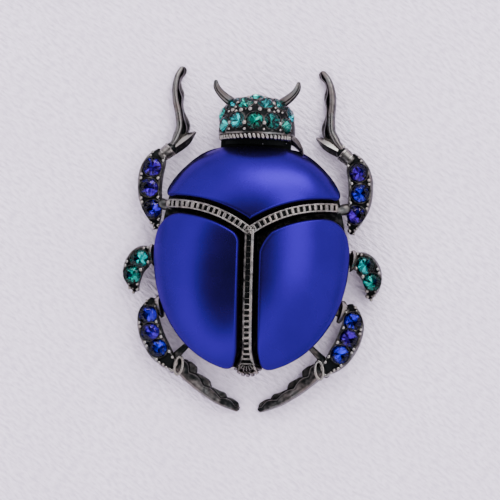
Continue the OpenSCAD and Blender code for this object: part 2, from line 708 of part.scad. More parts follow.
// Black neck: a low block on the tray and an arch behind the rope
module neck() {
    arch = [for (k = [0:10])
        let (a = k * 18)
        [neck_w / 2 * signed_pow(cos(a), 0.8), tray_z + (neck_top - tray_z) * pow(sin(a), 0.8)]];
    translate([0, head_back + 0.6, 0]) rotate([90, 0, 0]) linear_extrude(neck_len + 0.3) polygon(arch);
    translate([-neck_w / 2, chest_front - 1.5, tray_z + back_depth])
        cube([neck_w, neck_len + 2, tray_t - back_depth]);
}

horn = [ // out, run, lift, thickness
    [-0.20, -0.15, -0.10, 1.10],
    [0.00, 0.00, 0.00, 1.00],
    [0.40, 0.22, 0.12, 0.88],
    [0.76, 0.49, 0.20, 0.74],
    [0.94, 0.74, 0.24, 0.56],
    [1.00, 1.00, 0.24, 0.22]];
horn_root = head_point(66, 50);
horn_rows = [for (h = horn)
    let (r = h[3] * horn_d / 2, z = horn_root[2] + h[2] * horn_len)
    [horn_root[0] + h[0] * horn_reach, horn_root[1] + h[1] * horn_len, r, z - r, z + r]];

// Angular lug of the casting beside the neck, on the right side alone
module shoulder_lug() {
    hull() {
        ball([neck_w / 2 + 0.5, head_back + 0.1, tray_top + 1.2], 0.5);
        ball([neck_w / 2 + 1.8, head_back - 0.7, tray_top + 0.7], 0.4);
        ball([neck_w / 2 + 2.3, chest_front - 0.5, tray_top], 0.35);
        ball([neck_w / 2 - 0.4, head_back + 0.2, tray_top - 0.6], 0.5);
    }
}

module head() {
    head_shell();
    rope();
    neck();
    shoulder_lug();
    both_sides() limb(horn_rows, ROUND);
    for (b = head_beads) bead([head_point(b[0], b[1]), head_normal(b[0], b[1])]);
}

// The whole casting, with every seat cut last
module cast_frame() {
    color(METAL) difference() {
        union() {
            tray();
            rib();
            tail_fan();
            both_sides() {
                front_leg();
                mid_leg();
                hind_leg();
            }
            front_shins();
            head();
        }
        both_sides() {
            for (f = front_stones) seat_cut(leg_seat(front_thigh_rows, f), leg_stone_r);
            for (f = mid_stones) seat_cut(leg_seat(mid_leg_rows, f), leg_stone_r);
            for (f = hind_stones) seat_cut(leg_seat(hind_thigh_rows, f), leg_stone_r);
        }
        for (s = head_stones) seat_cut(head_seat(s), head_stone_r);
    }
}

// Blue pieces

// Domed piece over an outline: a drafted foot, an upright edge, a rolled edge and the dome
module cabochon(outline, centre) {
    n = len(outline);
    function inward(i) =
        let (a = outline[(i + n - 1) % n], b = outline[(i + 1) % n], v = b - a)
        [-v[1], v[0]] / norm(v);
    function moved(i, d) = outline[i] + inward(i) * d;
    function lifted(p, z) = [p[0], p[1], z];
    roll = edge_r * (1 - cos(45));
    foot = seat_z + min_wall;
    tops = [for (i = [0:n - 1]) dome(moved(i, edge_r))];
    color(BLUE) skin(concat(
        [[for (i = [0:n - 1]) lifted(moved(i, draft), seat_z)]],
        [[for (i = [0:n - 1]) lifted(outline[i], max(foot, tops[i] - edge_r))]],
        [[for (i = [0:n - 1]) lifted(moved(i, roll), max(foot + 0.1, tops[i] - roll))]],
        [for (s = [1, 0.8, 0.56, 0.3, 0.1])
            [for (i = [0:n - 1])
                let (p = centre + (moved(i, edge_r) - centre) * s)
                lifted(p, dome(p))]]), true);
}

module chest_cabochon() {
    cabochon(chest_outline, [0, (chest_front + junction_y) / 2 + 1.6]);
}

module right_wing_cabochon() {
    cabochon(wing_outline, [wing_w * 0.26, -(wing_rear - junction_y) * 0.4]);
}

module left_wing_cabochon() {
    mirror([1, 0, 0]) right_wing_cabochon();
}

// Pin at the back: bar, hinge barrel, stem and hooked catch in one piece

module pin_clasp() {
    bar_z = tray_z + back_depth - seat_gap - bar_t;
    end_x = bar_len / 2 - barrel_r;
    color(METAL) {
        translate([-bar_len / 2, pin_y - bar_w / 2, bar_z]) cube([bar_len, bar_w, bar_t]);
        translate([end_x, pin_y - bar_w / 2, stem_z]) {
            rotate([-90, 0, 0]) cylinder(h = bar_w, r = barrel_r, $fn = fine);
            translate([-barrel_r, 0, 0]) cube([2 * barrel_r, bar_w, bar_z - stem_z + 0.1]);
        }
        translate([-end_x, pin_y, stem_z]) rotate([0, 90, 0]) cylinder(h = 2 * end_x, r = stem_r, $fn = fine);
        translate([-end_x - 0.6, pin_y, stem_z]) difference() {
            union() {
                rotate([0, 90, 0]) cylinder(h = 1.2, r = barrel_r, $fn = fine);
                translate([0, -0.5, 0]) cube([1.2, 1, bar_z - stem_z + 0.1]);
            }
            translate([-0.1, 0, 0]) rotate([0, 90, 0]) cylinder(h = 1.4, r = barrel_r - 0.4, $fn = fine);
            translate([-0.1, -2 * barrel_r, -0.5]) cube([1.4, 2 * barrel_r, 0.9]);
        }
        translate([-end_x - 0.6, pin_y, stem_z]) rotate([0, 90, 0]) cylinder(h = 0.8, r = stem_r, $fn = fine);
    }
}

// Nodes

SIDES = [["left", -1], ["right", 1]];
LEGS = [ // name, rows, stations, stone
    ["front", front_thigh_rows, front_stones, SAPPHIRE],
    ["mid", mid_leg_rows, mid_stones, TEAL],
    ["hind", hind_thigh_rows, hind_stones, SAPPHIRE]];
LEG_STONES = [for (side = SIDES, leg = LEGS, i = [0:len(leg[2]) - 1])
    [str(leg[0], "_", side[0], "_stone_", i + 1), turned(leg_seat(leg[1], leg[2][i]), side[1]), leg[3]]];

cast_frame();
chest_cabochon();
left_wing_cabochon();
right_wing_cabochon();
pin_clasp();
for (s = LEG_STONES)
    color(s[2]) stone(s[1], leg_stone_r);
for (i = [0:len(head_stones) - 1])
    color(TEAL) stone(head_seat(head_stones[i]), head_stone_r);
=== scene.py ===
# %% [markdown]
# # A scarab brooch
# The real brooch is one gunmetal casting that carries three satin blue domes, 28 small cut stones and
# a pin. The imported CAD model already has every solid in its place, so this script keeps that frame
# and gives each solid a finer shape and a finish. Sculpting by hand would be quicker, but formulas and
# tables can be changed later, one size at a time.

# %% Load the frame
import math

import bmesh
import bpy
import numpy as np
from mathutils import Matrix, Vector
from mathutils.geometry import convex_hull_2d


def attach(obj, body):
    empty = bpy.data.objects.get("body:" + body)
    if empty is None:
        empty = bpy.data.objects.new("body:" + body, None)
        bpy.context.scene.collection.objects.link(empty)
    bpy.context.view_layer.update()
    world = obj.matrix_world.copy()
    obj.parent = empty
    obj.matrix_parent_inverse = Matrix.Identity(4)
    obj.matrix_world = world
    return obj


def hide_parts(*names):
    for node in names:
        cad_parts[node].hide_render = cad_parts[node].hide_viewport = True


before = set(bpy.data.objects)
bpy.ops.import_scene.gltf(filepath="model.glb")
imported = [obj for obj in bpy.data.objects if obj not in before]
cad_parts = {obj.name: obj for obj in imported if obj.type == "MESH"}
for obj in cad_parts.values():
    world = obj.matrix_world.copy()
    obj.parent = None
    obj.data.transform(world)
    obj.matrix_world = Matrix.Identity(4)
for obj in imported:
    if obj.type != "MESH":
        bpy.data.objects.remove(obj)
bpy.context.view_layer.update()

MM = 0.001


def add_object(name, data):
    thing = bpy.data.objects.new(name, data)
    bpy.context.scene.collection.objects.link(thing)
    return thing


# %% [markdown]
# ## Camera
# The photograph looks almost straight down, leaning a little to the right wing, and the brooch lies
# turned clockwise by a degree or two. A long lens from forty centimetres keeps the sides nearly
# parallel. The place is worked out from those few angles, so that each can be corrected by itself.

# %% Place the camera
PICTURE_WIDTH = 72.5 * MM
PICTURE_MIDDLE = Vector((-0.33, -1.21, 4.0)) * MM
CAMERA_DISTANCE, NEAREST, SENSOR = 0.40, 0.01, 36.0
LEAN_RIGHT, LEAN_BACK, TURN = (math.radians(angle) for angle in (4.5, 3.0, 2.0))


def look_from(eye, target, up):
    """Place and turn of a camera or lamp at eye that looks at target."""
    back = (eye - target).normalized()
    right = up.cross(back).normalized()
    top = back.cross(right)
    return Matrix([(right[i], top[i], back[i], eye[i]) for i in range(3)] + [(0, 0, 0, 1)])


def add_camera():
    data = bpy.data.cameras.new("camera")
    data.sensor_width = SENSOR
    data.lens = SENSOR * CAMERA_DISTANCE / PICTURE_WIDTH
    data.clip_start = NEAREST
    camera = add_object("camera", data)
    direction = Vector((math.sin(LEAN_RIGHT), -math.sin(LEAN_BACK), 1)).normalized()
    eye = PICTURE_MIDDLE + direction * CAMERA_DISTANCE
    camera.matrix_world = look_from(eye, PICTURE_MIDDLE, Vector((-math.sin(TURN), math.cos(TURN), 0)))
    bpy.context.scene.camera = camera
    return camera


print("camera at", [round(v, 3) for v in add_camera().matrix_world.translation])

# %% [markdown]
# ## Finishes
# Metal, satin lacquer and glass all need a little unevenness. It could be painted for each piece, but
# three shader groups give it to every finish at its own sizes: a worn mask for the raised edges of the
# casting, a fine grain with slow clouds, and specks of dust.

# %% Helpers for node trees


def plug(tree, socket, value):
    """Links the socket if the value is a socket too, and otherwise sets it."""
    if isinstance(value, bpy.types.NodeSocket):
        tree.links.new(value, socket)
    else:
        socket.default_value = value


def plug_all(tree, node, sockets):
    for name, value in sockets.items():
        plug(tree, node.inputs[name], value)


def put(tree, kind, sockets=None, **settings):
    """Adds a node, sets its properties, then sets or links its input sockets."""
    made = tree.nodes.new(kind)
    for name, value in settings.items():
        setattr(made, name, value)
    plug_all(tree, made, sockets or {})
    return made


def signal(tree, kind, sockets=None, **settings):
    """Adds a node like put, and gives its first output."""
    return put(tree, kind, sockets, **settings).outputs[0]


def blend_colours(tree, mask, low, high):
    mix = put(tree, "ShaderNodeMix", {0: mask}, data_type="RGBA")
    for name, value in (("A", low), ("B", high)):
        socket = next(s for s in mix.inputs if s.name == name and s.type == "RGBA")
        plug(tree, socket, value if isinstance(value, bpy.types.NodeSocket) else (*value, 1))
    return next(s for s in mix.outputs if s.type == "RGBA")


def spread(tree, value, from_min, from_max, to_min=0.0, to_max=1.0):
    """Maps a value from one range to another and keeps it inside."""
    return signal(tree, "ShaderNodeMapRange", {
        "Value": value, "From Min": from_min, "From Max": from_max, "To Min": to_min, "To Max": to_max})


def calculate(tree, operation, first, second=0.0):
    return signal(tree, "ShaderNodeMath", {0: first, 1: second}, operation=operation)


print("node helpers ready")

# %% Groups of nodes
GROUP_RESULT = {"Shader": "Float", "Geometry": "Geometry"}


def new_group(kind, name, inputs, outputs):
    """A group of a kind, Shader or Geometry, with inputs [title, kind, default] and titled outputs."""
    tree = bpy.data.node_groups.new(name, kind + "NodeTree")
    rows = [(*row, "INPUT") for row in inputs]
    rows += [(title, GROUP_RESULT[kind], None, "OUTPUT") for title in outputs]
    for title, socket_kind, default, side in rows:
        socket = tree.interface.new_socket(title, in_out=side, socket_type="NodeSocket" + socket_kind)
        if default is not None:
            socket.default_value = default
    return tree, tree.nodes.new("NodeGroupInput").outputs, tree.nodes.new("NodeGroupOutput").inputs


def place_group(tree, group, **values):
    """Places a shader group with its inputs set, and gives its outputs."""
    sockets = {name.replace("_", " "): value for name, value in values.items()}
    return put(tree, "ShaderNodeGroup", sockets, node_tree=group).outputs


def own_place(tree):
    return put(tree, "ShaderNodeTexCoord").outputs["Object"]


def noise(tree, place, scale, detail=3.0):
    return signal(tree, "ShaderNodeTexNoise", {"Vector": place, "Scale": scale, "Detail": detail})


print("a group gives:", GROUP_RESULT)

# %% Groups for worn edges, grain and dust


def worn_group():
    """Mask that is 1 on the worn, raised places and 0 in the blackened recesses; on the spurs it paints
    light and shade.
    """
    tree, given, result = new_group("Shader", "Worn relief", [
        ("Relief", "Float", 1.0), ("Patch Scale", "Float", 900.0), ("Patchiness", "Float", 0.35)], ["Mask"])
    patches = noise(tree, own_place(tree), given["Patch Scale"], 4.0)
    uneven = calculate(tree, "MULTIPLY", calculate(tree, "SUBTRACT", patches, 0.5), given["Patchiness"])
    total = calculate(tree, "ADD", given["Relief"], uneven)
    tree.links.new(spread(tree, total, 0.25, 0.8), result["Mask"])
    return tree


def grain_group():
    """Height of a fine grain, and a slow cloudiness that dulls the shine in places."""
    tree, given, result = new_group("Shader", "Fine grain", [
        ("Grain Scale", "Float", 6000.0), ("Cloud Scale", "Float", 250.0)], ["Height", "Cloud"])
    place = own_place(tree)
    tree.links.new(noise(tree, place, given["Grain Scale"]), result["Height"])
    tree.links.new(spread(tree, noise(tree, place, given["Cloud Scale"]), 0.3, 0.7), result["Cloud"])
    return tree


def dust_group():
    """Mask of small, scattered specks."""
    tree, given, result = new_group("Shader", "Dust specks", [
        ("Speck Scale", "Float", 700.0), ("Speck Size", "Float", 0.1)], ["Specks"])
    cells = put(tree, "ShaderNodeTexVoronoi", {"Vector": own_place(tree), "Scale": given["Speck Scale"]})
    chosen = signal(tree, "ShaderNodeSeparateColor", {0: cells.outputs["Color"]})
    size = calculate(tree, "MULTIPLY", spread(tree, chosen, 0.8, 1.0), given["Speck Size"])
    tree.links.new(calculate(tree, "LESS_THAN", cells.outputs["Distance"], size), result["Specks"])
    return tree


WORN, GRAIN, DUST = worn_group(), grain_group(), dust_group()
print("groups:", WORN.name, GRAIN.name, DUST.name)

# %% [markdown]
# ## Gunmetal
# Black plating is polished off the raised places, so they shine silver grey while every recess stays
# black. Blender could find the edges by their curvature, but fine beads and flat tops then look alike.
# So each metal piece carries a number between 0 and 1 at its points, called relief,
# that says how raised the place is, and the finish only has to read it. On the spurs it also paints light
# and shade, a bright upper facet and a dark lower one, and on the blue domes it marks the lip for a
# painted shade.

# %% Helpers for materials


def new_material(name, recipe):
    """A material whose shader takes the sockets that the recipe, a function of the tree, gives."""
    material = bpy.data.materials.new(name)
    material.use_nodes = True
    tree = material.node_tree
    plug_all(tree, tree.nodes["Principled BSDF"], recipe(tree))
    return material


def value_on(tree, name):
    """Number that a piece carries at its points or faces."""
    return put(tree, "ShaderNodeAttribute", attribute_name=name).outputs["Fac"]


def dusted(tree, colour, amount, dust_colour, **sizes):
    specks = place_group(tree, DUST, **sizes)["Specks"]
    return blend_colours(tree, calculate(tree, "MULTIPLY", specks, amount), colour, dust_colour)


def bump(tree, height, strength, distance):
    return signal(tree, "ShaderNodeBump", {"Strength": strength, "Distance": distance, "Height": height})


print("material helpers ready")

# %% Gunmetal finish
METAL_GRAIN = {"Grain_Scale": 5200.0, "Cloud_Scale": 600.0}
METAL_DUST = {"Speck_Scale": 900.0, "Speck_Size": 0.08}
DUST_ON_METAL, DUST_GREY = 0.5, (0.55, 0.55, 0.57)
RECESS_DULLNESS, CLOUD_DULLNESS, PLAIN_RELIEF = 0.25, 0.12, 0.35


def metal(name, recess, raised, warm, roughness, relief=True):
    """Dark in the recesses; the tone of raised places drifts from cool to warm."""

    def recipe(tree):
        grain = place_group(tree, GRAIN, **METAL_GRAIN)
        height = value_on(tree, "relief") if relief else calculate(tree, "ADD", grain["Cloud"], PLAIN_RELIEF)
        worn = place_group(tree, WORN, Relief=height, Patch_Scale=1300.0, Patchiness=1.1)["Mask"]
        coloured = blend_colours(tree, worn, recess, blend_colours(tree, grain["Cloud"], raised, warm))
        dull = spread(tree, worn, 0.0, 1.0, roughness + RECESS_DULLNESS, roughness)
        polish = calculate(tree, "MULTIPLY", grain["Cloud"], CLOUD_DULLNESS)
        return {"Base Color": dusted(tree, coloured, DUST_ON_METAL, DUST_GREY, **METAL_DUST),
                "Roughness": calculate(tree, "ADD", dull, polish), "Metallic": 1.0,
                "Normal": bump(tree, grain["Height"], 0.12, 0.03 * MM)}

    return new_material(name, recipe)


GUNMETAL = metal("gunmetal", (0.006, 0.007, 0.007), (0.086, 0.091, 0.088), (0.108, 0.090, 0.083), 0.22)
SILVER = metal("polished_edges", (0.010, 0.010, 0.010), (0.19, 0.19, 0.18), (0.23, 0.205, 0.18), 0.20)
PIN_METAL = metal("pin_metal", (0.12, 0.12, 0.125), (0.18, 0.18, 0.185), (0.20, 0.19, 0.18), 0.22, False)
print("metals:", GUNMETAL.name, SILVER.name, PIN_METAL.name)

# %% [markdown]
# ## Satin blue
# The domes are metallic blue under a frosted lacquer: a wide, soft highlight, a very fine grain and a
# few specks of dust. A plain blue plastic would look chalky, so the metal part gives the deep colour
# and the coat over it stays faint and rough. The rolled lip is painted darker, a painted shade along
# the edge of each dome.

# %% Satin blue finish
# SHADED_LIP_BLUE is painted shade: the rolled lip of each dome is blended towards it.
BLUES, SHADED_LIP_BLUE = ((0.0120, 0.0018, 0.122), (0.0148, 0.0024, 0.148)), (0.004, 0.001, 0.035)
EDGE_TINT, DUST_ON_BLUE, DUST_BLUE = (0.8, 0.7, 0.95, 1), 0.4, (0.12, 0.12, 0.30)


def satin(tree):
    grain = place_group(tree, GRAIN, Grain_Scale=7000.0, Cloud_Scale=160.0)
    colour = blend_colours(tree, grain["Cloud"], *BLUES)
    dusty = dusted(tree, colour, DUST_ON_BLUE, DUST_BLUE, Speck_Scale=420.0, Speck_Size=0.05)
    # painted shade: where relief is low, on the lip, the blue turns towards SHADED_LIP_BLUE
    return {"Base Color": blend_colours(tree, value_on(tree, "relief"), SHADED_LIP_BLUE, dusty),
            "Metallic": 1.0, "Roughness": spread(tree, grain["Cloud"], 0.0, 1.0, 0.24, 0.29),
            "Coat Weight": 0.12, "Coat Roughness": 1.0, "Specular Tint": EDGE_TINT,
            "Normal": bump(tree, grain["Height"], 0.22, 0.02 * MM)}


BLUE = new_material("blue_satin", satin)
print("domes:", BLUE.name)

# %% [markdown]
# ## Cut stones
# These are glass stones with a foil behind them. Light goes in through the facets above, is thrown back
# by the foil on the facets below, and comes out again. So the upper facets are clear tinted glass and
# the lower facets are bright metal. The sparkle comes partly from that and partly from a painted glint:
# each facet of the foil gets its own random brightness.

# %% Glass and foil
LIGHT_BENDING = 1.22
# The foil's shade and glint are painted reflection: each foil facet is blended between them by a random
# glint.
TINTS = { # two tints of the glass, shade and glint of the foil
    "blue": ((0.30, 0.02, 0.58), (0.04, 0.10, 0.72), (0.014, 0.003, 0.05), (0.28, 0.12, 0.90)),
    "teal": ((0.004, 0.50, 0.36), (0.006, 0.44, 0.50), (0.0, 0.02, 0.024), (0.03, 0.88, 0.84))}


def clouds(tree, scale):
    return place_group(tree, GRAIN, Cloud_Scale=scale)["Cloud"]


def glass(name, first, second):
    """Tinted glass; each stone's own hue lies somewhere between two tints."""
    return new_material(name, lambda tree: {
        "Base Color": blend_colours(tree, value_on(tree, "hue"), first, second), "Transmission Weight": 1.0,
        "Roughness": spread(tree, clouds(tree, 500.0), 0.0, 1.0, 0.0, 0.04), "IOR": LIGHT_BENDING})


def foil(name, shade, colour):
    """Mirror behind a stone; a painted glint on each facet decides how bright it is."""
    return new_material(name, lambda tree: {
        "Base Color": blend_colours(tree, value_on(tree, "glint"), shade, colour), "Metallic": 1.0,
        "Specular Tint": (*colour, 1),
        "Roughness": spread(tree, clouds(tree, 900.0), 0.0, 1.0, 0.06, 0.16)})


STONES = {}
for stone_colour, (first, second, shade, glint) in TINTS.items():
    STONES[stone_colour + "_glass"] = (
        glass(stone_colour + "_glass", first, second), foil(stone_colour + "_foil", shade, glint))
print("stones:", sorted(STONES))

# %% [markdown]
# ## Shaping helpers
# Most pieces are closed skins: a stack of rings, each a loop of points, joined ring to ring and capped
# at both ends. Modifiers could sweep a profile too, but here the profile changes along the way. A small
# class gathers such skins, with their relief, until they become one piece.

# %% Skins


class Clay:
    """Gathers closed skins, in millimetres, until they become one piece."""

    def __init__(self):
        self.points, self.relief, self.faces = [], [], []

    def skin(self, rings, relief=1.0):
        rings = np.asarray(rings, float)
        count, size = rings.shape[:2]
        start = len(self.points)
        heights = np.broadcast_to(np.asarray(relief, float), (count, size))
        self.points += rings.reshape(-1, 3).tolist()
        self.relief += heights.reshape(-1).tolist()
        self.points += [rings[0].mean(0).tolist(), rings[-1].mean(0).tolist()]
        self.relief += [float(heights[0].mean()), float(heights[-1].mean())]
        low, high = start + count * size, start + count * size + 1
        top_ring = start + (count - 1) * size
        for k in range(size):
            after = (k + 1) % size
            for i in range(count - 1):
                a, b = start + i * size, start + (i + 1) * size
                self.faces.append((a + k, a + after, b + after, b + k))
            self.faces.append((start + after, start + k, low))
            self.faces.append((top_ring + k, top_ring + after, high))
        return self

    def join(self, other, mirror=False):
        start = len(self.points)
        side = -1 if mirror else 1
        self.points += [[p[0] * side, p[1], p[2]] for p in other.points]
        self.relief += other.relief
        self.faces += [tuple(start + i for i in face) for face in other.faces]
        return self


print("a skin of three rings of four points:", len(Clay().skin(np.zeros((3, 4, 3))).faces), "faces")

# %% From clay to a piece
CREASE = 40.0


def closed_mesh(name, points, faces):
    """Mesh from points in millimetres, with its faces turned outwards."""
    mesh = bpy.data.meshes.new(name)
    mesh.from_pydata((np.array(points) * MM).tolist(), [], faces)
    shape = bmesh.new()
    shape.from_mesh(mesh)
    bmesh.ops.recalc_face_normals(shape, faces=shape.faces)
    shape.to_mesh(mesh)
    shape.free()
    return mesh


def to_mesh(name, clay):
    points = np.array(clay.points)
    points[:, 2] = np.maximum(points[:, 2], 0)
    mesh = closed_mesh(name, points, clay.faces)
    mesh.attributes.new("relief", "FLOAT", "POINT").data.foreach_set("value", clay.relief)
    return mesh


def piece(name, shape, materials, replaced, crease=CREASE):
    """Makes clay or a mesh a piece of the brooch that rides with its one body."""
    mesh = to_mesh(name, shape) if isinstance(shape, Clay) else shape
    if crease:
        mesh.shade_smooth()
        mesh.set_sharp_from_angle(angle=math.radians(crease))
    for material in materials:
        mesh.materials.append(material)
    thing = add_object(name, mesh)
    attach(thing, "root")
    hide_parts(*replaced)
    print(name, len(mesh.polygons), "faces")


def cast_piece(name, shape, materials=(), crease=CREASE):
    """A piece that stands for a part of the one casting; a tree has set the material of what it made."""
    piece(name, shape, materials, ["cast_frame"], crease)


print("edges sharper than", CREASE, "degrees stay sharp")

# %% Smooth tables


def row_at(rows, place):
    """Row between the rows of a table, on a smooth curve through them."""
    rows = np.asarray(rows, float)
    i = min(int(place), len(rows) - 2)
    u = place - i
    a, b, c, d = rows[max(i - 1, 0)], rows[i], rows[i + 1], rows[min(i + 2, len(rows) - 1)]
    return b + u / 2 * (c - a + u * (2 * a - 5 * b + 4 * c - d + u * (3 * (b - c) + d - a)))


def refined(rows, steps):
    return np.array([row_at(rows, k / steps) for k in range((len(rows) - 1) * steps + 1)])


def rounded(profile, steps=3):
    """Smooth closed curve through the points of a profile."""
    profile = np.asarray(profile, float)
    wrapped = np.vstack([profile[-1], profile, profile[:2]])
    return np.array([row_at(wrapped, 1 + k / steps) for k in range(len(profile) * steps)])


def evened(loop, count):
    """The same closed curve with evenly spaced points."""
    loop = np.vstack([loop, loop[:1]])
    run = np.concatenate([[0], np.cumsum(np.linalg.norm(np.diff(loop[:, :2], axis=0), axis=1))])
    places = np.linspace(0, run[-1], count + 1)[:-1]
    return np.stack([np.interp(places, run, column) for column in loop.T], 1)


def travel(rows):
    """Direction of travel over the floor at each row."""
    steps = np.gradient(rows[:, :2], axis=0)
    return steps / np.linalg.norm(steps, axis=1)[:, None]


def turns(count, start=0.0):
    """Evenly spaced angles once round."""
    return np.linspace(0, 2 * math.pi, count + 1)[:-1] + start


def spun(points, angle, pivot=(0.0, 0.0)):
    """The points turned over the floor about a pivot."""
    points = np.array(points, float)
    c, s = math.cos(angle), math.sin(angle)
    x, y = points[..., 0] - pivot[0], points[..., 1] - pivot[1]
    points[..., 0], points[..., 1] = pivot[0] + c * x - s * y, pivot[1] + s * x + c * y
    return points


print("halfway from 1 to 4, on the way from 0 to 9:", row_at([[0], [1], [4], [9]], 1.5))

# %% Pits for the stones
PIT = np.array([(0, -0.95), (0.98, -0.08), (1.03, 0.07), (1.09, 0.09), (1.15, 0.0)])
PIT_RELIEF = np.array([(0, 0), (0.98, 0), (1.04, 0.45), (1.1, 0.6), (1.16, 0.2)])
PIT_FADE = np.array([(1.12, 1), (1.28, 0)])
PIT_REACH = 0.6


def carved(rings, relief, seats, radius):
    """Sinks a cone under each seat of a skin and raises a collar round it."""
    rings = np.array(rings, float)
    relief = np.array(np.broadcast_to(relief, rings.shape[:2]), float)
    for centre, normal in seats:
        away = rings - centre
        height = away @ normal
        share = np.linalg.norm(away - height[..., None] * normal, axis=2) / radius
        mix = np.interp(share, *PIT_FADE.T) * (height > -PIT_REACH) * (height < PIT_REACH)
        rings += ((np.interp(share, *PIT.T) - height) * mix)[..., None] * normal
        relief += (np.interp(share, *PIT_RELIEF.T) - relief) * mix
    return rings, relief


print("a pit and its collar reach", PIT_FADE[-1, 0], "radii")

# %% Limbs
NOSE = [(math.cos(a), math.sin(a)) for a in np.radians([20, 40, 60, 80])]


def limb(clay, rows, profile, steps=6, noses=(0.5, 0.5), seats=(), radius=1.0):
    """Skin through rows of x, y, half width, low, top.

    The profile, a table or a function of the share of the length, gives across, up and relief.
    Each end closes in a nose.
    """
    rows = refined(rows, steps)
    ways = travel(rows)
    rings, relief = [], []
    last = len(rows) - 1
    stations = [(0, shrink, -ahead * noses[0]) for shrink, ahead in reversed(NOSE)] if noses[0] else []
    stations += [(i, 1.0, 0.0) for i in range(last + 1)]
    stations += [(last, shrink, ahead * noses[1]) for shrink, ahead in NOSE] if noses[1] else []
    for i, shrink, ahead in stations:
        x, y, half, low, top = rows[i]
        way = ways[i]
        section = np.asarray(profile(i / last) if callable(profile) else profile)
        middle = (low + top) / 2
        heights = low + (top - low) * section[:, 1]
        across = section[:, 0] * half * shrink
        x += way[0] * ahead * half
        y += way[1] * ahead * half
        levels = middle + (heights - middle) * shrink
        rings.append(np.stack([x - way[1] * across, y + way[0] * across, levels], 1))
        relief.append(section[:, 2])
    clay.skin(*carved(rings, relief, seats, radius))


def placed(table, root, length, reach, width, height):
    """Turns shares of run, out, width, low and top into rows of millimetres."""
    return np.array([
        [root[0] + out * reach, root[1] + run * length, wide * width / 2, low * height, top * height]
        for run, out, wide, low, top in table])


print("shaping helpers ready")

# %% [markdown]
# ## Curves of the body
# The wings and the chest have outlines of the same family as an ellipse, only fuller, and one dome lies
# over all three. They could be traced point by point. Written as formulas, they give as many points as
# the eye needs and keep meeting each other when a size changes.

# %% Sizes of the body
CHEST_W, WING_W = 27.5, 28.4
CHEST_FRONT, CHEST_MID = 13.8, 1.2
WING_MID, WING_REAR, WING_SHOULDER = 2.0, 19.0, 12.0
DOME_H, DOME_MID, DOME_MARGIN = 6.2, 0.8, 0.45
CHEST_POWER, WING_POWER, DOME_POWER, DOME_ROLL = 2.3, 2.05, 2.15, 0.6
TRAY_Z, TRAY_T, SEAT_GAP, RIM_WALL = 2.6, 1.4, 0.05, 0.35
TRAY_TOP = TRAY_Z + TRAY_T
SEAT_Z = TRAY_TOP + SEAT_GAP
RIM_Z = SEAT_Z + RIM_WALL
JUNCTION_Y, ARM_RISE, ARM_BEND, ARM_INSET = 1.7, 3.2, 2.4, 1.5
RIB_JUNCTION_Y, RIB_RISE = 1.15, 3.9
ARM_REACH = WING_W / 2 - ARM_INSET
ARM_W, STEM_W = 1.3, 1.4
CHEST_GROOVE, CHEST_DIP, WING_GROOVE, STEM_GROOVE = 0.52, 0.35, 0.9, 0.64
TAIL_LEN, TAIL_FLARE = 3.8, 0.85
TAIL_START = -(WING_REAR - TAIL_LEN - 0.1)
print("dome rises from", RIM_Z, "to", RIM_Z + DOME_H)

# %% Outline and dome formulas


def signed_power(value, power):
    return math.copysign(abs(value) ** power, value)


def fullness(distance, semi, power):
    return max(0.0, 1 - (abs(distance) / semi) ** power) ** (1 / power)


def wing_edge(y):
    semi = WING_SHOULDER if y > -WING_MID else WING_REAR - WING_MID
    return WING_W / 2 * fullness(y + WING_MID, semi, WING_POWER)


def chest_edge(y):
    return CHEST_W / 2 * fullness(y - CHEST_MID, CHEST_FRONT - CHEST_MID, CHEST_POWER)


def dome(x, y):
    """Height of the common dome over a point of the plan."""
    semi = (CHEST_FRONT + DOME_MID if y > -DOME_MID else WING_REAR - DOME_MID) + DOME_MARGIN
    fall = (abs(x) / (WING_W / 2 + DOME_MARGIN)) ** DOME_POWER + (abs(y + DOME_MID) / semi) ** DOME_POWER
    return RIM_Z + DOME_H * max(0.0, 1 - fall) ** DOME_ROLL


def arm_point(t, d=0.0, junction=RIB_JUNCTION_Y, rise=RIB_RISE):
    """Point on the right arm, moved d to its upper side; t runs from the junction outwards."""
    left = max(0.0, 1 - t)
    side = np.array([-rise * ARM_BEND * left ** (ARM_BEND - 1) / ARM_REACH, 1.0])
    spot = np.array([t * ARM_REACH, junction + rise * (1 - left ** ARM_BEND)])
    return spot + side / np.linalg.norm(side) * d


def chest_low(t):
    """Point of the chest's lower edge, whose V is a little flatter than the rib."""
    return arm_point(t, ARM_W / 2 + CHEST_GROOVE, JUNCTION_Y - CHEST_DIP, ARM_RISE + CHEST_DIP)


def stem_half(y):
    return STEM_W / 2 + TAIL_FLARE * max(0.0, (TAIL_START - y) / TAIL_LEN) ** 2


def inner_edge(y):
    return stem_half(y) + STEM_GROOVE


def where(test, low, high):
    """Halves the range again and again until it finds where the test stops being true."""
    for _ in range(40):
        middle = (low + high) / 2
        low, high = (middle, high) if test(middle) else (low, middle)
    return (low + high) / 2


def bend(a, corner, b, count):
    """Round corner between the points a and b."""
    a, corner, b = map(np.asarray, (a, corner, b))
    shares = np.linspace(0, 1, count + 1)[1:-1]
    return [a * (1 - u) ** 2 + corner * 2 * u * (1 - u) + b * u * u for u in shares]


print("dome over the rib's junction:", round(dome(0, RIB_JUNCTION_Y), 2))

# %% Outline of the chest
CHEST_FULL, FULL_AT, FULL_SPAN = 0.45, 6.8, 2.7
CHEST_TRIM = math.radians(8)


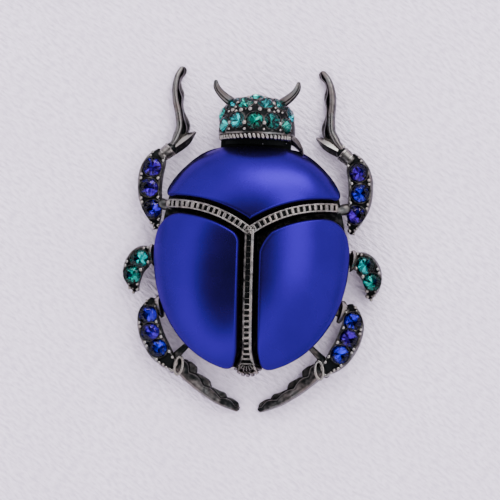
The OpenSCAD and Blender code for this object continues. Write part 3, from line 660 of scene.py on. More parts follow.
def chest_outline(fine=4):
    tip = where(lambda t: chest_low(t)[0] < 0, 0.0, 0.3)
    corner = where(lambda t: chest_low(t)[0] < chest_edge(chest_low(t)[1]), 0.6, 1.2)
    turn = math.acos((chest_low(corner)[0] / (CHEST_W / 2)) ** (CHEST_POWER / 2)) + CHEST_TRIM
    low = [chest_low(tip + (corner - tip) * k / (8 * fine)) for k in range(1, 7 * fine + 1)]
    arc = []
    for a in np.linspace(turn, math.pi - turn, 16 * fine + 1):
        x = CHEST_W / 2 * signed_power(math.cos(a), 2 / CHEST_POWER)
        y = CHEST_MID + (CHEST_FRONT - CHEST_MID) * math.sin(a) ** (2 / CHEST_POWER)
        arc.append(np.array([x, y + CHEST_FULL * math.exp(-((abs(x) - FULL_AT) / FULL_SPAN) ** 2)]))
    right = low + bend(low[-1], chest_low(corner), arc[0], 4 * fine)
    left = [p * (-1, 1) for p in reversed(right)]
    return np.array(left + [chest_low(tip)] + right + arc)


print("chest outline:", len(chest_outline()), "points")

# %% Outline of a wing
INNER_R, SHOULDER_R, REAR_R = 1.2, 2.6, 1.5


def wing_at(angle):
    semi = WING_SHOULDER if angle > 0 else WING_REAR - WING_MID
    return np.array([WING_W / 2 * math.cos(angle) ** (2 / WING_POWER),
                     -WING_MID + semi * signed_power(math.sin(angle), 2 / WING_POWER)])


def turn_at(x):
    return -math.acos((x / (WING_W / 2)) ** (WING_POWER / 2))


def wing_outline(groove=WING_GROOVE, inner_r=INNER_R, cut=0.0, fine=4):
    """Outline of the right wing; a cut of 1 makes its inner corner a straight bevel."""
    d = -(ARM_W / 2 + groove)
    inner = where(lambda t: arm_point(t, d)[0] < inner_edge(0), 0.0, 0.4)
    outer = where(lambda t: arm_point(t, d)[0] < wing_edge(arm_point(t, d)[1]), 0.6, 1.3)
    corner, shoulder = arm_point(inner, d), arm_point(outer, d)
    rear_x = inner_edge(-WING_REAR + 0.4)
    rear = wing_at(turn_at(rear_x))
    top_turn = math.asin(((shoulder[1] - SHOULDER_R + WING_MID) / WING_SHOULDER) ** (WING_POWER / 2))
    levels = np.linspace(corner[1] - inner_r, rear[1] + REAR_R, 7 * fine)
    down = [np.array([inner_edge(y), y]) for y in levels]
    round_side = [wing_at(a) for a in np.linspace(turn_at(rear_x + REAR_R), top_turn, 12 * fine)]
    places = np.linspace(outer - SHOULDER_R / ARM_REACH, inner + inner_r / ARM_REACH, 6 * fine)
    upper = [arm_point(t, d) for t in places]
    corner = corner * (1 - cut) + (upper[-1] + down[0]) / 2 * cut
    return np.array(down + bend(down[-1], rear, round_side[0], 3 * fine)
                    + round_side + bend(round_side[-1], shoulder, upper[0], 4 * fine)
                    + upper + bend(upper[-1], corner, down[0], 3 * fine))


def inward(outline):
    """Unit directions into a counter-clockwise outline."""
    along = np.roll(outline, -1, 0) - np.roll(outline, 1, 0)
    along /= np.linalg.norm(along, axis=1)[:, None]
    return np.stack([-along[:, 1], along[:, 0]], 1)


print("wing outline:", len(wing_outline()), "points")

# %% [markdown]
# ## The blue domes
# Each is a pressed shell: a short upright edge, a rolled lip, and the dome. A bevelled and inflated
# plate would come near it. But the lip must meet the dome without a step, so here it turns only until
# it has the dome's own slope at that point of the outline. The two wings aren't quite alike: the right
# one has a blunter inner corner, the left one comes nearer to the rib.

# %% Make the domes
EDGE_R, DRAFT, MIN_WALL, WALL_DROP, SLOPE_STEP = 0.5, 0.2, 0.25, 0.05, 0.05
# LIP_SHADE_MASK sets the painted shade of the lip: the lower it is, the darker the lip.
LIP_STEPS, DOME_STEPS, LIP_SHADE_MASK = 7, 26, 0.35
CHEST_CENTRE = np.array([0, (CHEST_FRONT + JUNCTION_Y) / 2 + 1.6])
WING_CENTRE = np.array([WING_W * 0.26, -(WING_REAR - JUNCTION_Y) * 0.4])
RIGHT_INNER_R, RIGHT_CUT, LEFT_GROOVE = 1.9, 0.55, 0.6


def with_height(points, heights):
    return np.column_stack([points, np.broadcast_to(heights, len(points))])


def dome_over(points):
    return np.array([dome(x, y) for x, y in points])


def cabochon(outline, centre):
    into = inward(outline)
    inside = outline + into * EDGE_R
    slope = np.arctan2(dome_over(inside + into * SLOPE_STEP) - dome_over(inside), SLOPE_STEP)
    reach = EDGE_R * (1 - np.sin(slope))
    lip = outline + into * reach[:, None]
    wall = np.maximum(SEAT_Z + MIN_WALL, dome_over(lip) - EDGE_R * np.cos(slope))
    rings = [with_height(outline + into * DRAFT, SEAT_Z), with_height(outline, wall - WALL_DROP)]
    for share in np.linspace(0, 1, LIP_STEPS + 1)[:-1]:
        turn = (math.pi / 2 - slope) * share
        ring = outline + into * (EDGE_R * (1 - np.cos(turn)))[:, None]
        rings.append(with_height(ring, wall + EDGE_R * np.sin(turn)))
    for share in np.linspace(1, 0, DOME_STEPS + 1)[:-1]:
        ring = centre + (lip - centre) * share
        rings.append(with_height(ring, dome_over(ring)))
    relief = np.ones((len(rings), 1))
    # painted shade: the foot, the wall and the rolled lip get LIP_SHADE_MASK, which darkens them in the
    # satin finish
    relief[:LIP_STEPS + 1, 0] = LIP_SHADE_MASK
    return Clay().skin(rings, relief)


domes = {"chest": cabochon(chest_outline(), CHEST_CENTRE),
         "left_wing": Clay().join(cabochon(wing_outline(groove=LEFT_GROOVE), WING_CENTRE), mirror=True),
         "right_wing": cabochon(wing_outline(inner_r=RIGHT_INNER_R, cut=RIGHT_CUT), WING_CENTRE)}
for title, clay in domes.items():
    piece(title + "_dome", clay, [BLUE], [title + "_cabochon"], crease=50)

# %% [markdown]
# ## Tray
# Under the domes lies a shallow tray whose outline is the domes' common outline, drawn taut like a
# string round all three. Its top shows only as the black bottom of the grooves, and its back is hollow
# for the pin. One skin follows the section from the pocket, over the foot, to the top, so that nothing
# has to be cut out.

# %% Make the tray
TRAY_INSET, TRAY_DRAFT, BACK_WALL, BACK_DEPTH, TRAY_SOFT = 0.3, 0.7, 1.1, 0.7, 0.12


def body_outline(count=180):
    wing = wing_outline()
    points = [tuple(p) for p in np.vstack([chest_outline(), wing, wing * (-1, 1)])]
    loop = evened(np.array([points[i] for i in convex_hull_2d(points)]), count)
    area = np.sum(loop[:, 0] * np.roll(loop[:, 1], -1) - loop[:, 1] * np.roll(loop[:, 0], -1))
    return loop if area > 0 else loop[::-1]


def tray():
    outline = body_outline()
    into = inward(outline)
    foot = TRAY_INSET + TRAY_DRAFT
    pocket = foot + BACK_WALL
    levels = [ # inset, height, share towards the middle, relief
        (pocket, TRAY_Z + BACK_DEPTH, 0.03, 0.45),
        (pocket, TRAY_Z + BACK_DEPTH, 0.5, 0.45),
        (pocket, TRAY_Z + BACK_DEPTH, 1, 0.35),
        (pocket, TRAY_Z + TRAY_SOFT, 1, 0.7),
        (pocket - TRAY_SOFT, TRAY_Z, 1, 0.9),
        (foot + TRAY_SOFT, TRAY_Z, 1, 0.9),
        (foot, TRAY_Z + TRAY_SOFT, 1, 0.7),
        (TRAY_INSET, TRAY_TOP - TRAY_SOFT, 1, 0.35),
        (TRAY_INSET + TRAY_SOFT, TRAY_TOP, 1, 0.28),
        (TRAY_INSET + 1, TRAY_TOP, 1, 0.28),
        (TRAY_INSET + 1, TRAY_TOP, 0.5, 0.28),
        (TRAY_INSET + 1, TRAY_TOP, 0.03, 0.28)]
    rings = [with_height((outline + into * inset) * share, height) for inset, height, share, _ in levels]
    return Clay().skin(rings, [[relief] for *_, relief in levels])


cast_piece("tray", tray(), [GUNMETAL])

# %% [markdown]
# ## Geometry Nodes for what repeats
# The rib's cross ticks, the rope over the head and the prong beads repeat along a path or a list of
# places. Copies could be placed by hand or by a modifier, but one tree each can also turn them the way
# the path or the surface goes, and a little seeded unevenness keeps the cast look.

# %% Helpers for geometry trees


def live(sockets, name=None):
    """The socket in use, by name, where a node has several for its kinds of data."""
    return next(s for s in sockets if s.enabled and (name is None or s.name == name))


def attribute(tree, name, kind="FLOAT"):
    return live(put(tree, "GeometryNodeInputNamedAttribute", {"Name": name}, data_type=kind).outputs)


def uneven(tree, low, high, seed):
    made = put(tree, "FunctionNodeRandomValue", {"Seed": seed}, data_type="FLOAT")
    live(made.inputs, "Min").default_value = low
    live(made.inputs, "Max").default_value = high
    return live(made.outputs)


def vector(tree, x, y, z):
    return signal(tree, "ShaderNodeCombineXYZ", {"X": x, "Y": y, "Z": z})


def resampled(tree, line, by, value):
    """The line with new points, by their Count or by the Length between them."""
    return signal(tree, "GeometryNodeResampleCurve", {"Curve": line, by: value}, mode=by.upper())


def stretched(tree, shape, x, y, z):
    return signal(tree, "GeometryNodeTransform", {"Geometry": shape, "Scale": vector(tree, x, y, z)})


def ball(tree, rings, radius):
    return signal(tree, "GeometryNodeMeshUVSphere", {"Segments": 14, "Rings": rings, "Radius": radius})


def facing(tree, first, second, axes):
    """Turn that brings a shape's two named axes into the two directions."""
    return signal(tree, "FunctionNodeAxesToRotation", {
        "Primary Axis": first, "Secondary Axis": second}, primary_axis=axes[0], secondary_axis=axes[1])


def with_relief(tree, geometry, value):
    return signal(tree, "GeometryNodeStoreNamedAttribute", {
        "Geometry": geometry, "Name": "relief", "Value": value}, data_type="FLOAT", domain="POINT")


def copies(tree, points, shape, relief, turn, size):
    """A copy of the shape, with its relief, on each point."""
    return signal(tree, "GeometryNodeInstanceOnPoints", {
        "Points": points, "Instance": with_relief(tree, shape, relief), "Rotation": turn, "Scale": size})


print("geometry helpers ready")

# %% Growing a tree on a path


def open_tree(name, inputs):
    sockets = [("Geometry", "Geometry", None), *inputs, ("Material", "Material", None)]
    return new_group("Geometry", name, sockets, ["Geometry"])


def close_tree(tree, parts, given, result):
    """Joins the parts, makes the copies real, smooths them and sets their material."""
    joined = put(tree, "GeometryNodeJoinGeometry")
    for part in parts:
        tree.links.new(part, joined.inputs[0])
    real = signal(tree, "GeometryNodeRealizeInstances", {"Geometry": joined.outputs[0]})
    smooth = signal(tree, "GeometryNodeSetShadeSmooth", {"Geometry": real})
    painted = signal(tree, "GeometryNodeSetMaterial", {"Geometry": smooth, "Material": given["Material"]})
    tree.links.new(painted, result["Geometry"])
    return tree


def grow(name, mesh, tree, **values):
    """Runs a tree on a mesh, with its inputs set, and keeps the result as a plain mesh."""
    thing = add_object(name, mesh)
    modifier = thing.modifiers.new(name, "NODES")
    modifier.node_group = tree
    for item in tree.interface.items_tree:
        if item.in_out == "INPUT" and item.name.replace(" ", "_") in values:
            modifier[item.identifier] = values[item.name.replace(" ", "_")]
    made = bpy.data.meshes.new_from_object(thing.evaluated_get(bpy.context.evaluated_depsgraph_get()))
    thing.modifiers.remove(modifier)
    bpy.data.objects.remove(thing)
    made.materials.clear() # joining leaves an empty first slot
    made.materials.append(values["Material"])
    return made


def path_mesh(name, points, edges=True, **attributes):
    """Points in millimetres with named numbers or vectors on them, joined in a line if wanted."""
    mesh = bpy.data.meshes.new(name)
    lines = [(i, i + 1) for i in range(len(points) - 1)] if edges else []
    mesh.from_pydata((np.asarray(points, float) * MM).tolist(), lines, [])
    for title, values in attributes.items():
        values = np.asarray(values, float)
        kind, field = ("FLOAT_VECTOR", "vector") if values.ndim == 2 else ("FLOAT", "value")
        mesh.attributes.new(title, kind, "POINT").data.foreach_set(field, values.reshape(-1))
    return mesh


print("trees can grow")

# %% [markdown]
# ## The ladder rib
# A Y-shaped rib parts the domes: two thin rails with dark cells between cross ticks, like a tiny ladder.
# A plain dark core carries it. The ladder could be cut as a pattern of holes, but the ticks are pillows
# that stand apart. So one tree makes both rails and all ticks of an arm from the line along it. Along
# the stem the right rail is wider and brighter than the left one, and the ticks fade out towards the top.

# %% Core of the rib
RIB_PROUD, STEM_END = 0.25, -(WING_REAR - 0.1)
CORE_DROP, CORE_INSET, CORE_SINK = 0.42, 0.05, 0.2
ARM_SHARE, STEM_RISE = 0.955, 0.3
CORE = [(-1, 0, 0.0), (1, 0, 0.0), (1, 0.94, 0.15), (0.9, 1, 0.05), (-0.9, 1, 0.05), (-1, 0.94, 0.15)]


def arm_line(count):
    return [(*arm_point(t), ARM_W / 2) for t in np.linspace(0, ARM_SHARE, count)]


def stem_line(count):
    return [(0, y, stem_half(y)) for y in np.linspace(RIB_JUNCTION_Y + STEM_RISE, STEM_END, count)]


def core(line):
    clay = Clay()
    rows = [(x, y, half - CORE_INSET, TRAY_TOP - CORE_SINK, dome(x, y) + RIB_PROUD - CORE_DROP)
            for x, y, half in line]
    limb(clay, rows, CORE, steps=1, noses=(0, 0))
    return clay


arm_core, stem_core = core(arm_line(40)), core(stem_line(50))
cast_piece("rib_core", Clay().join(arm_core).join(arm_core, mirror=True).join(stem_core), [GUNMETAL])

# %% One rail of a tree
RAIL_SPACING, RAIL_UNEVEN = 0.14 * MM, (0.86, 1.1)


def rail(tree, given, line, profile, offset, hand):
    """One rail, moved off the line, with the share of the width and the wear of its hand."""
    fine = resampled(tree, line, "Length", RAIL_SPACING)
    moved = signal(tree, "GeometryNodeSetPosition", {"Geometry": fine, "Offset": offset})
    upright = signal(tree, "GeometryNodeSetCurveNormal", {"Curve": moved}, mode="Z_UP")
    size = calculate(tree, "MULTIPLY", uneven(tree, *RAIL_UNEVEN, given["Seed"]), given[hand + " Share"])
    made = signal(tree, "GeometryNodeCurveToMesh", {
        "Curve": upright, "Profile Curve": profile, "Scale": size, "Fill Caps": True})
    return with_relief(tree, made, given[hand + " Wear"])


print("points on a rail every", RAIL_SPACING / MM, "mm")

# %% Tree for rails and ticks
TICK_UNEVEN, TICK_WEAR, TICK_H_SHARE = (0.7, 1.3), 0.62, 0.85
TICK_ROUNDING = {"Level": 2, "Edge Crease": 0.35}


def ladder_tree():
    tree, given, result = open_tree("Ladder", [
        ("Rail Width", "Float", 0.00036), ("Rail Height", "Float", 0.0005), ("Tick Width", "Float", 0.00028),
        ("Tick Pitch", "Float", 0.00072), ("Left Wear", "Float", 0.6), ("Right Wear", "Float", 0.6),
        ("Left Share", "Float", 1.0), ("Right Share", "Float", 1.0), ("Seed", "Int", 5)])
    line = signal(tree, "GeometryNodeMeshToCurve", {"Mesh": given["Geometry"]})
    tangent = signal(tree, "GeometryNodeInputTangent")
    sideways = signal(tree, "ShaderNodeVectorMath", {0: tangent, 1: (0, 0, 1)}, operation="CROSS_PRODUCT")
    side = signal(tree, "ShaderNodeVectorMath", {0: sideways}, operation="NORMALIZE")
    half_rail = calculate(tree, "MULTIPLY", given["Rail Width"], 0.5)
    reach = calculate(tree, "SUBTRACT", attribute(tree, "half"), half_rail)
    circle = signal(tree, "GeometryNodeCurvePrimitiveCircle", {"Resolution": 10, "Radius": 0.5})
    profile = stretched(tree, circle, given["Rail Width"], given["Rail Height"], 1.0)
    parts = []
    for sign, hand in ((1.0, "Left"), (-1.0, "Right")):
        offset = signal(tree, "ShaderNodeVectorMath", {
            0: side, "Scale": calculate(tree, "MULTIPLY", reach, sign)}, operation="SCALE")
        parts.append(rail(tree, given, line, profile, offset, hand))
    spots = resampled(tree, line, "Length", given["Tick Pitch"])
    cube = signal(tree, "GeometryNodeMeshCube", {"Size": (2.0, 1.0, 1.0)})
    pillow = signal(tree, "GeometryNodeSubdivisionSurface", {"Mesh": cube, **TICK_ROUNDING})
    width = calculate(tree, "MULTIPLY", given["Tick Width"], uneven(tree, *TICK_UNEVEN, given["Seed"]))
    size = vector(tree, reach, calculate(tree, "MULTIPLY", width, attribute(tree, "wide")),
                  calculate(tree, "MULTIPLY", given["Rail Height"], TICK_H_SHARE))
    turn = facing(tree, side, tangent, "XY")
    return close_tree(tree, [*parts, copies(tree, spots, pillow, TICK_WEAR, turn, size)], given, result)


LADDER = ladder_tree()
print("tree:", LADDER.name)

# %% Make the three ladders
RAIL_W, STEM_RAIL_W, RAIL_H, TICK_PITCH, TICK_W = 0.32, 0.42, 0.45, 0.82, 0.33
ARM_TICKS, STEM_TICKS, TICKS_GROW = (1.0, 1.75), (1.0, 0.08), (-11.0, -8.0)
STEM_RAILS = {"Left_Wear": 0.42, "Right_Wear": 0.68, "Left_Share": 0.8, "Right_Share": 1.2}


def ladder(name, line, seed, rail_w, wide, **rails):
    points = [(x, y, dome(x, y) + RIB_PROUD - RAIL_H * 0.5) for x, y, _ in line]
    mesh = path_mesh(name, points, half=[half * MM for *_, half in line], wide=wide)
    made = grow(name, mesh, LADDER, Rail_Width=rail_w * MM, Rail_Height=RAIL_H * 1.05 * MM,
                Tick_Width=TICK_W * MM, Tick_Pitch=TICK_PITCH * MM, Seed=seed, Material=SILVER, **rails)
    cast_piece(name, made, crease=0)


right_arm, stem = arm_line(60), stem_line(80)
fuller = np.linspace(*ARM_TICKS, len(right_arm))
ladder("right_rib_arm", right_arm, 5, RAIL_W, fuller)
ladder("left_rib_arm", [(-x, y, half) for x, y, half in right_arm], 8, RAIL_W, fuller)
thin_above = np.interp([y for _, y, _ in stem], TICKS_GROW, STEM_TICKS)
ladder("rib_stem", stem, 11, STEM_RAIL_W, thin_above, **STEM_RAILS)

# %% [markdown]
# ## Tail
# The stem ends in a small fan of seven rounded flutes over a sloping foot. A bumpy surface would do
# from far away, but the light runs along each flute. So each is a short limb of its own.

# %% Make the tail fan
FLUTE_LEN, FAN_TURN, FLUTE_FILL, HUB_SHARE, FAN_EDGE = 1.78, 19.0, 0.82, 0.9, 80
FLUTE = rounded([(-1, 0, 0.1), (1, 0, 0.1), (1, 0.7, 0.15), (0.4, 1, 1.3), (-0.4, 1, 1.3), (-1, 0.7, 0.15)])
FLUTE_ROWS = [ # along, width, height
    (0.42, 1.00, 1.00),
    (0.76, 0.92, 0.90),
    (0.92, 0.55, 0.66),
    (1.06, 1.02, 0.72),
    (1.24, 0.72, 0.44)]


def tail_fan():
    clay = Clay()
    hub = np.array([0, STEM_END + FLUTE_LEN * HUB_SHARE])
    low = TRAY_Z + BACK_DEPTH
    high = dome(*hub) + RIB_PROUD
    for turn in np.radians(np.arange(-3, 4) * FAN_TURN):
        rows = []
        for along, wide, tall in FLUTE_ROWS:
            x, y = hub + np.array([math.sin(turn), -math.cos(turn)]) * FLUTE_LEN * along
            half = FLUTE_LEN * along * math.tan(math.radians(FAN_TURN / 2)) * FLUTE_FILL * wide
            rows.append((x, y, half, low + 0.2, TRAY_TOP + (high - TRAY_TOP) * tall))
        limb(clay, rows, FLUTE, steps=4, noses=(0, 0.6))
    foot = ((1.16, low), (1.12, TRAY_TOP + 0.2), (0.7, high - 0.7))
    rings = []
    for reach, height in ((share * FLUTE_LEN, height) for share, height in foot):
        ring = [(math.sin(a) * reach, hub[1] - math.cos(a) * reach, height)
                for a in np.radians(np.linspace(-FAN_EDGE, FAN_EDGE, 17))]
        rings.append(ring + [(side * reach * 0.7, hub[1] + 0.9, height) for side in (1, -1)])
    return clay.skin(rings, 0.1)


cast_piece("tail_fan", tail_fan(), [SILVER])

# %% [markdown]
# ## Legs
# Six legs stand out from under the body. Each thigh is a smooth, fat arc with a sunk channel for its
# stones. A curve with a bevel could draw such an arc, but not its changing height. So tables give where
# each leg runs as shares of its size, and a profile gives its section.

# %% Profiles and tables of the legs
THIGH_TOP, THIGH_STEPS = 4.0, 16
THIGH = evened(rounded([
    (-0.7, 0, 0.1), (0.7, 0, 0.1), (0.97, 0.5, 0.25), (0.92, 0.86, 0.35), (0.82, 1, 0.85), (0.7, 0.97, 0.3),
    (0.6, 0.9, 0.0), (-0.6, 0.9, 0.0), (-0.7, 0.97, 0.3), (-0.82, 1, 0.85), (-0.92, 0.86, 0.35),
    (-0.97, 0.5, 0.25)]), 84)
ROUND = np.array([(math.cos(a), 0.5 + math.sin(a) / 2, 0.85) for a in turns(16, -1.2)])

FRONT_THIGH = [ # run, out, width, low, top
    (-0.29, 0.56, 0.19, 0.42, 0.65),
    (-0.19, 0.65, 0.46, 0.32, 0.82),
    (-0.045, 0.80, 0.78, 0.27, 0.93),
    (0.11, 0.95, 0.95, 0.25, 1.00),
    (0.28, 1.00, 1.00, 0.25, 1.00),
    (0.445, 0.93, 1.00, 0.25, 1.00),
    (0.60, 0.70, 0.84, 0.26, 0.95),
    (0.71, 0.43, 0.51, 0.28, 0.82)]
FRONT_SHIN = [
    (-0.03, -0.10, 0.50, 0.24, 0.74),
    (0.05, -0.25, 0.68, 0.23, 0.74),
    (0.15, -0.53, 1.00, 0.20, 0.70),
    (0.28, -0.73, 1.00, 0.16, 0.64),
    (0.445, -0.71, 0.95, 0.12, 0.60),
    (0.61, -0.62, 0.89, 0.08, 0.55),
    (0.75, -0.62, 0.83, 0.04, 0.48),
    (0.875, -0.73, 0.74, 0.01, 0.38),
    (0.96, -0.90, 0.58, 0.00, 0.27)]
FRONT_SPUR = [
    (0.04, -0.20, 1.00, 0.22, 0.72),
    (0.13, -0.80, 0.92, 0.22, 0.68),
    (0.21, -1.27, 0.20, 0.26, 0.52)]
MID_LEG = [
    (-0.04, -0.35, 0.53, 0.52, 0.92),
    (-0.02, 0.21, 0.76, 0.30, 0.94),
    (0.04, 0.55, 1.00, 0.22, 1.00),
    (0.23, 0.85, 1.00, 0.16, 1.00),
    (0.47, 0.985, 0.88, 0.10, 0.96),
    (0.72, 0.985, 0.65, 0.03, 0.78),
    (0.96, 0.88, 0.26, 0.00, 0.42)]
HIND_THIGH = [
    (-0.10, 0.72, 0.39, 0.40, 0.78),
    (0.06, 0.93, 0.73, 0.30, 0.94),
    (0.23, 1.00, 0.92, 0.26, 1.00),
    (0.41, 0.86, 1.00, 0.24, 1.00),
    (0.60, 0.56, 1.00, 0.22, 1.00),
    (0.78, 0.14, 0.94, 0.20, 0.96),
    (0.93, -0.35, 0.75, 0.18, 0.90),
    (1.00, -0.67, 0.55, 0.18, 0.80)]
HIND_SHIN = [
    (0.02, -0.125, 1.00, 0.16, 0.74),
    (0.22, -0.24, 0.84, 0.14, 0.72),
    (0.44, -0.42, 0.77, 0.10, 0.66),
    (0.67, -0.64, 0.65, 0.06, 0.58),
    (0.81, -0.85, 0.62, 0.02, 0.46),
    (0.94, -1.00, 0.36, 0.00, 0.28)]
print("thigh section:", len(THIGH), "points")

# %% Where the legs run
ARM_END = np.array([ARM_REACH, JUNCTION_Y + ARM_RISE])
SHIN_LEN, SHIN_REACH, SHIN_W, SHIN_SHIFT = 12.65, 3.3, 2.0, -0.58
SHIN_SIZE = (SHIN_LEN, SHIN_REACH, SHIN_W, THIGH_TOP)
SHIN_LEAN = {-1: math.radians(6.3), 1: math.radians(4.5)}
MID_ROOT, HIND_ROOT = 2.4, 9.7

front_thigh = placed(FRONT_THIGH, ARM_END, 11.0, 2.7, 3.7, THIGH_TOP)
front_knee = front_thigh[-1, :2] - (0.9, -0.25)
shin_root = front_thigh[-1, :2] - (0.7, -0.3)
front_shin = placed(FRONT_SHIN, shin_root, *SHIN_SIZE)
front_spur = placed(FRONT_SPUR, shin_root, *SHIN_SIZE)
front_pivot = shin_root + (-SHIN_REACH * 0.6, SHIN_LEN / 2)
mid_root = np.array([wing_edge(-MID_ROOT), -MID_ROOT])
mid_leg = placed(MID_LEG, mid_root, -5.3, 3.3, 3.4, THIGH_TOP)
hind_root = np.array([wing_edge(-HIND_ROOT), -HIND_ROOT])
hind_thigh = placed(HIND_THIGH, hind_root, -8.3, 2.15, 3.6, THIGH_TOP)
hind_knee = hind_thigh[-1, :2] - (0.55, 0)
hind_shin = placed(HIND_SHIN, hind_knee, -6.6, 9.2, 3.1, THIGH_TOP)
print("knees at", front_knee.round(2), hind_knee.round(2))

# %% Seats of the stones
LEG_STONE_D, HEAD_STONE_D, GIRDLE_DROP = 2.62, 2.36, 0.06
UPWARDS = np.array([0.0, 0.0, 1.0])
LEGS = { # rows, stations of the stones, stations of the beads, glass
    "front": (front_thigh, (1.95, 3.72, 5.38), (0.35, 1.0, 2.84, 4.55, 6.3), "blue_glass"),
    "mid": (mid_leg, (2.4, 4.34), (1.35, 3.4, 5.35, 5.9), "teal_glass"),
    "hind": (hind_thigh, (1.62, 3.3, 4.8), (0.6, 2.46, 4.05, 5.6, 6.4), "blue_glass")}


def leg_seats(name, side=1):
    """Middle of the girdle and direction of the axis, for each stone of a leg."""
    rows, stations, *_ = LEGS[name]
    spots = [row_at(rows, station) for station in stations]
    return [(np.array([x * side, y, top - GIRDLE_DROP]), UPWARDS) for x, y, _, _, top in spots]


print("stones on a side:", sum(len(leg_seats(name)) for name in LEGS))

# %% Solid parts of the legs


def bar(clay, p, q, r, s, relief):
    """Round bar from p to q whose radius goes from r to s."""
    section = ROUND.copy()
    section[:, 2] = relief
    rows = [(x, y, half, z - half, z + half) for (x, y, z), half in ((p, r), (q, s))]
    limb(clay, rows, section, steps=4, noses=(0.7, 0.7))


def drum(clay, p, q, r, relief, soft=0.08):
    """Short drum between p and q with softened edges."""
    way = (np.array(q) - p) / np.linalg.norm(np.array(q) - p)
    across = np.array([-way[1], way[0], 0])
    hoops = ((p, r - soft), (p + way * soft, r), (q - way * soft, r), (q, r - soft))
    clay.skin([[spot + (across * math.cos(a) + UPWARDS * math.sin(a)) * radius for a in turns(24)]
               for spot, radius in hoops], relief)


def egg(clay, centre, turn, sizes, relief=0.2):
    """Solid egg with three half sizes, turned over the floor."""
    rings = [[(math.cos(a) * math.cos(b), math.cos(a) * math.sin(b), math.sin(a)) for b in turns(20)]
             for a in np.radians(np.linspace(-84, 84, 13))]
    clay.skin(spun(np.array(rings) * sizes, turn) + centre, relief)


def hoop(clay, centre, turn, length, width, thick, relief):
    """Oval ring of round wire, lying flat and turned over the floor."""
    wire = [(math.cos(b) * thick, math.sin(b) * thick) for b in turns(10)]
    rings = np.array([[(math.cos(a) * (length / 2 + out), math.sin(a) * (width / 2 + out), up)
                       for out, up in wire] for a in turns(28)])
    count, size = rings.shape[:2]
    start = len(clay.points)
    clay.points += (spun(rings, turn) + centre).reshape(-1, 3).tolist()
    clay.relief += [relief] * (count * size)
    for i in range(count):
        a, b = start + i * size, start + (i + 1) % count * size
        clay.faces += [(a + k, b + k, b + (k + 1) % size, a + (k + 1) % size) for k in range(size)]


def thigh(name):
    """Arc of a leg with the seats of its stones sunk in."""
    clay = Clay()
    limb(clay, LEGS[name][0], THIGH, THIGH_STEPS, seats=leg_seats(name), radius=LEG_STONE_D / 2)
    return clay


mid_leg_clay = thigh("mid")
print("middle leg:", len(mid_leg_clay.faces), "faces")

# %% [markdown]
# The shins carry a smooth bar along their outer side, a dark groove, and a low crest along the inner
# side that swings from one edge to the other like a wave. A pattern of bumps would give the waves but
# not the clean bar. So the section itself changes along the way, and the skin follows it.

# %% Profiles of the shins
WAVES, LOBES = 3.4, 4
SHINE, SHINE_PEAK, SHINE_AT, SHINE_SPAN = 0.34, 0.28, 0.42, 0.22
# The third numbers of the spur's section are painted light and shade: its upper facet is made bright and its
# lower facet dark, as the light falls on them.
SPUR_SECTION_WITH_PAINTED_LIGHT = [(-0.9, 0.1, 0.2), (0.7, 0.0, 0.2), (1, 0.35, 0.2), (0.35, 0.92, 0.15), (0.25, 1, 1.2),
                (0.1, 0.97, 1.3), (-0.95, 0.62, 1.3), (-1, 0.4, 0.6)]


def front_section(u):
    """Outer bar on the low side of across, wavy crest on the high side."""
    swing = math.sin(u * WAVES * 2 * math.pi + 0.8)
    rim = 0.74 + 0.26 * math.sin(u * WAVES * 2 * math.pi - 0.4)
    crest = min(0.46 + 0.2 * swing, rim - 0.2)
    return rounded([
        (-0.85, 0, 0.2), (rim - 0.1, 0, 0.2), (rim, 0.4, 0.7), (crest + 0.18, 0.58, 0.3),
        (crest, 0.84, 1.0), (crest - 0.12, 0.6, 0.3), (0.17, 0.55, 0.1), (0.08, 0.88, 0.7),
        (-0.3, 1.0, 0.85), (-0.8, 0.92, 0.65), (-1.0, 0.45, 0.1)])


def hind_section(u):
    """Smooth ridge on the high side, dark shelf with a wavy edge on the low side."""
    share = u * LOBES % 1
    lobe = min(share / 0.75, (1 - share) / 0.25) ** 0.7
    rim = -0.55 - 0.45 * lobe
    crest = -0.05 - 0.35 * math.sin(math.pi * ((u * LOBES + 0.3) % 1))
    shine = SHINE + SHINE_PEAK * math.exp(-((u - SHINE_AT) / SHINE_SPAN) ** 2)
    return rounded([
        (rim + 0.1, 0, 0.2), (0.85, 0, 0.2), (1, 0.45, 0.25), (0.9, 0.88, 0.9), (0.6, 1, shine),
        (0.2, 0.96, shine * 0.85), (crest + 0.1, 0.9, shine * 0.7), (crest, 0.9, 1.2),
        (crest - 0.05, 0.6, 0.0), (crest - 0.15, 0.52, 0.3), (rim + 0.06, 0.5, 0.42), (rim, 0.3, 0.4)])


SHIN_PARTS = { # rows, section, steps, noses
    "shin": (front_shin, front_section, 10, (0.5, 0.8)),
    "spur": (front_spur, SPUR_SECTION_WITH_PAINTED_LIGHT, 6, (0.4, 0.6))}


def shin_part(side, part):
    """Part of the right shin, mirrored for the left; both lean to the left about their middles."""
    one = Clay()
    limb(one, *SHIN_PARTS[part])
    made = Clay().join(one, mirror=side < 0)
    points = spun(made.points, SHIN_LEAN[side], (front_pivot[0] * side, front_pivot[1]))
    made.points = (points + (SHIN_SHIFT, 0, 0)).tolist()
    return made


print("points round a shin:", len(front_section(0)), len(hind_section(0)))

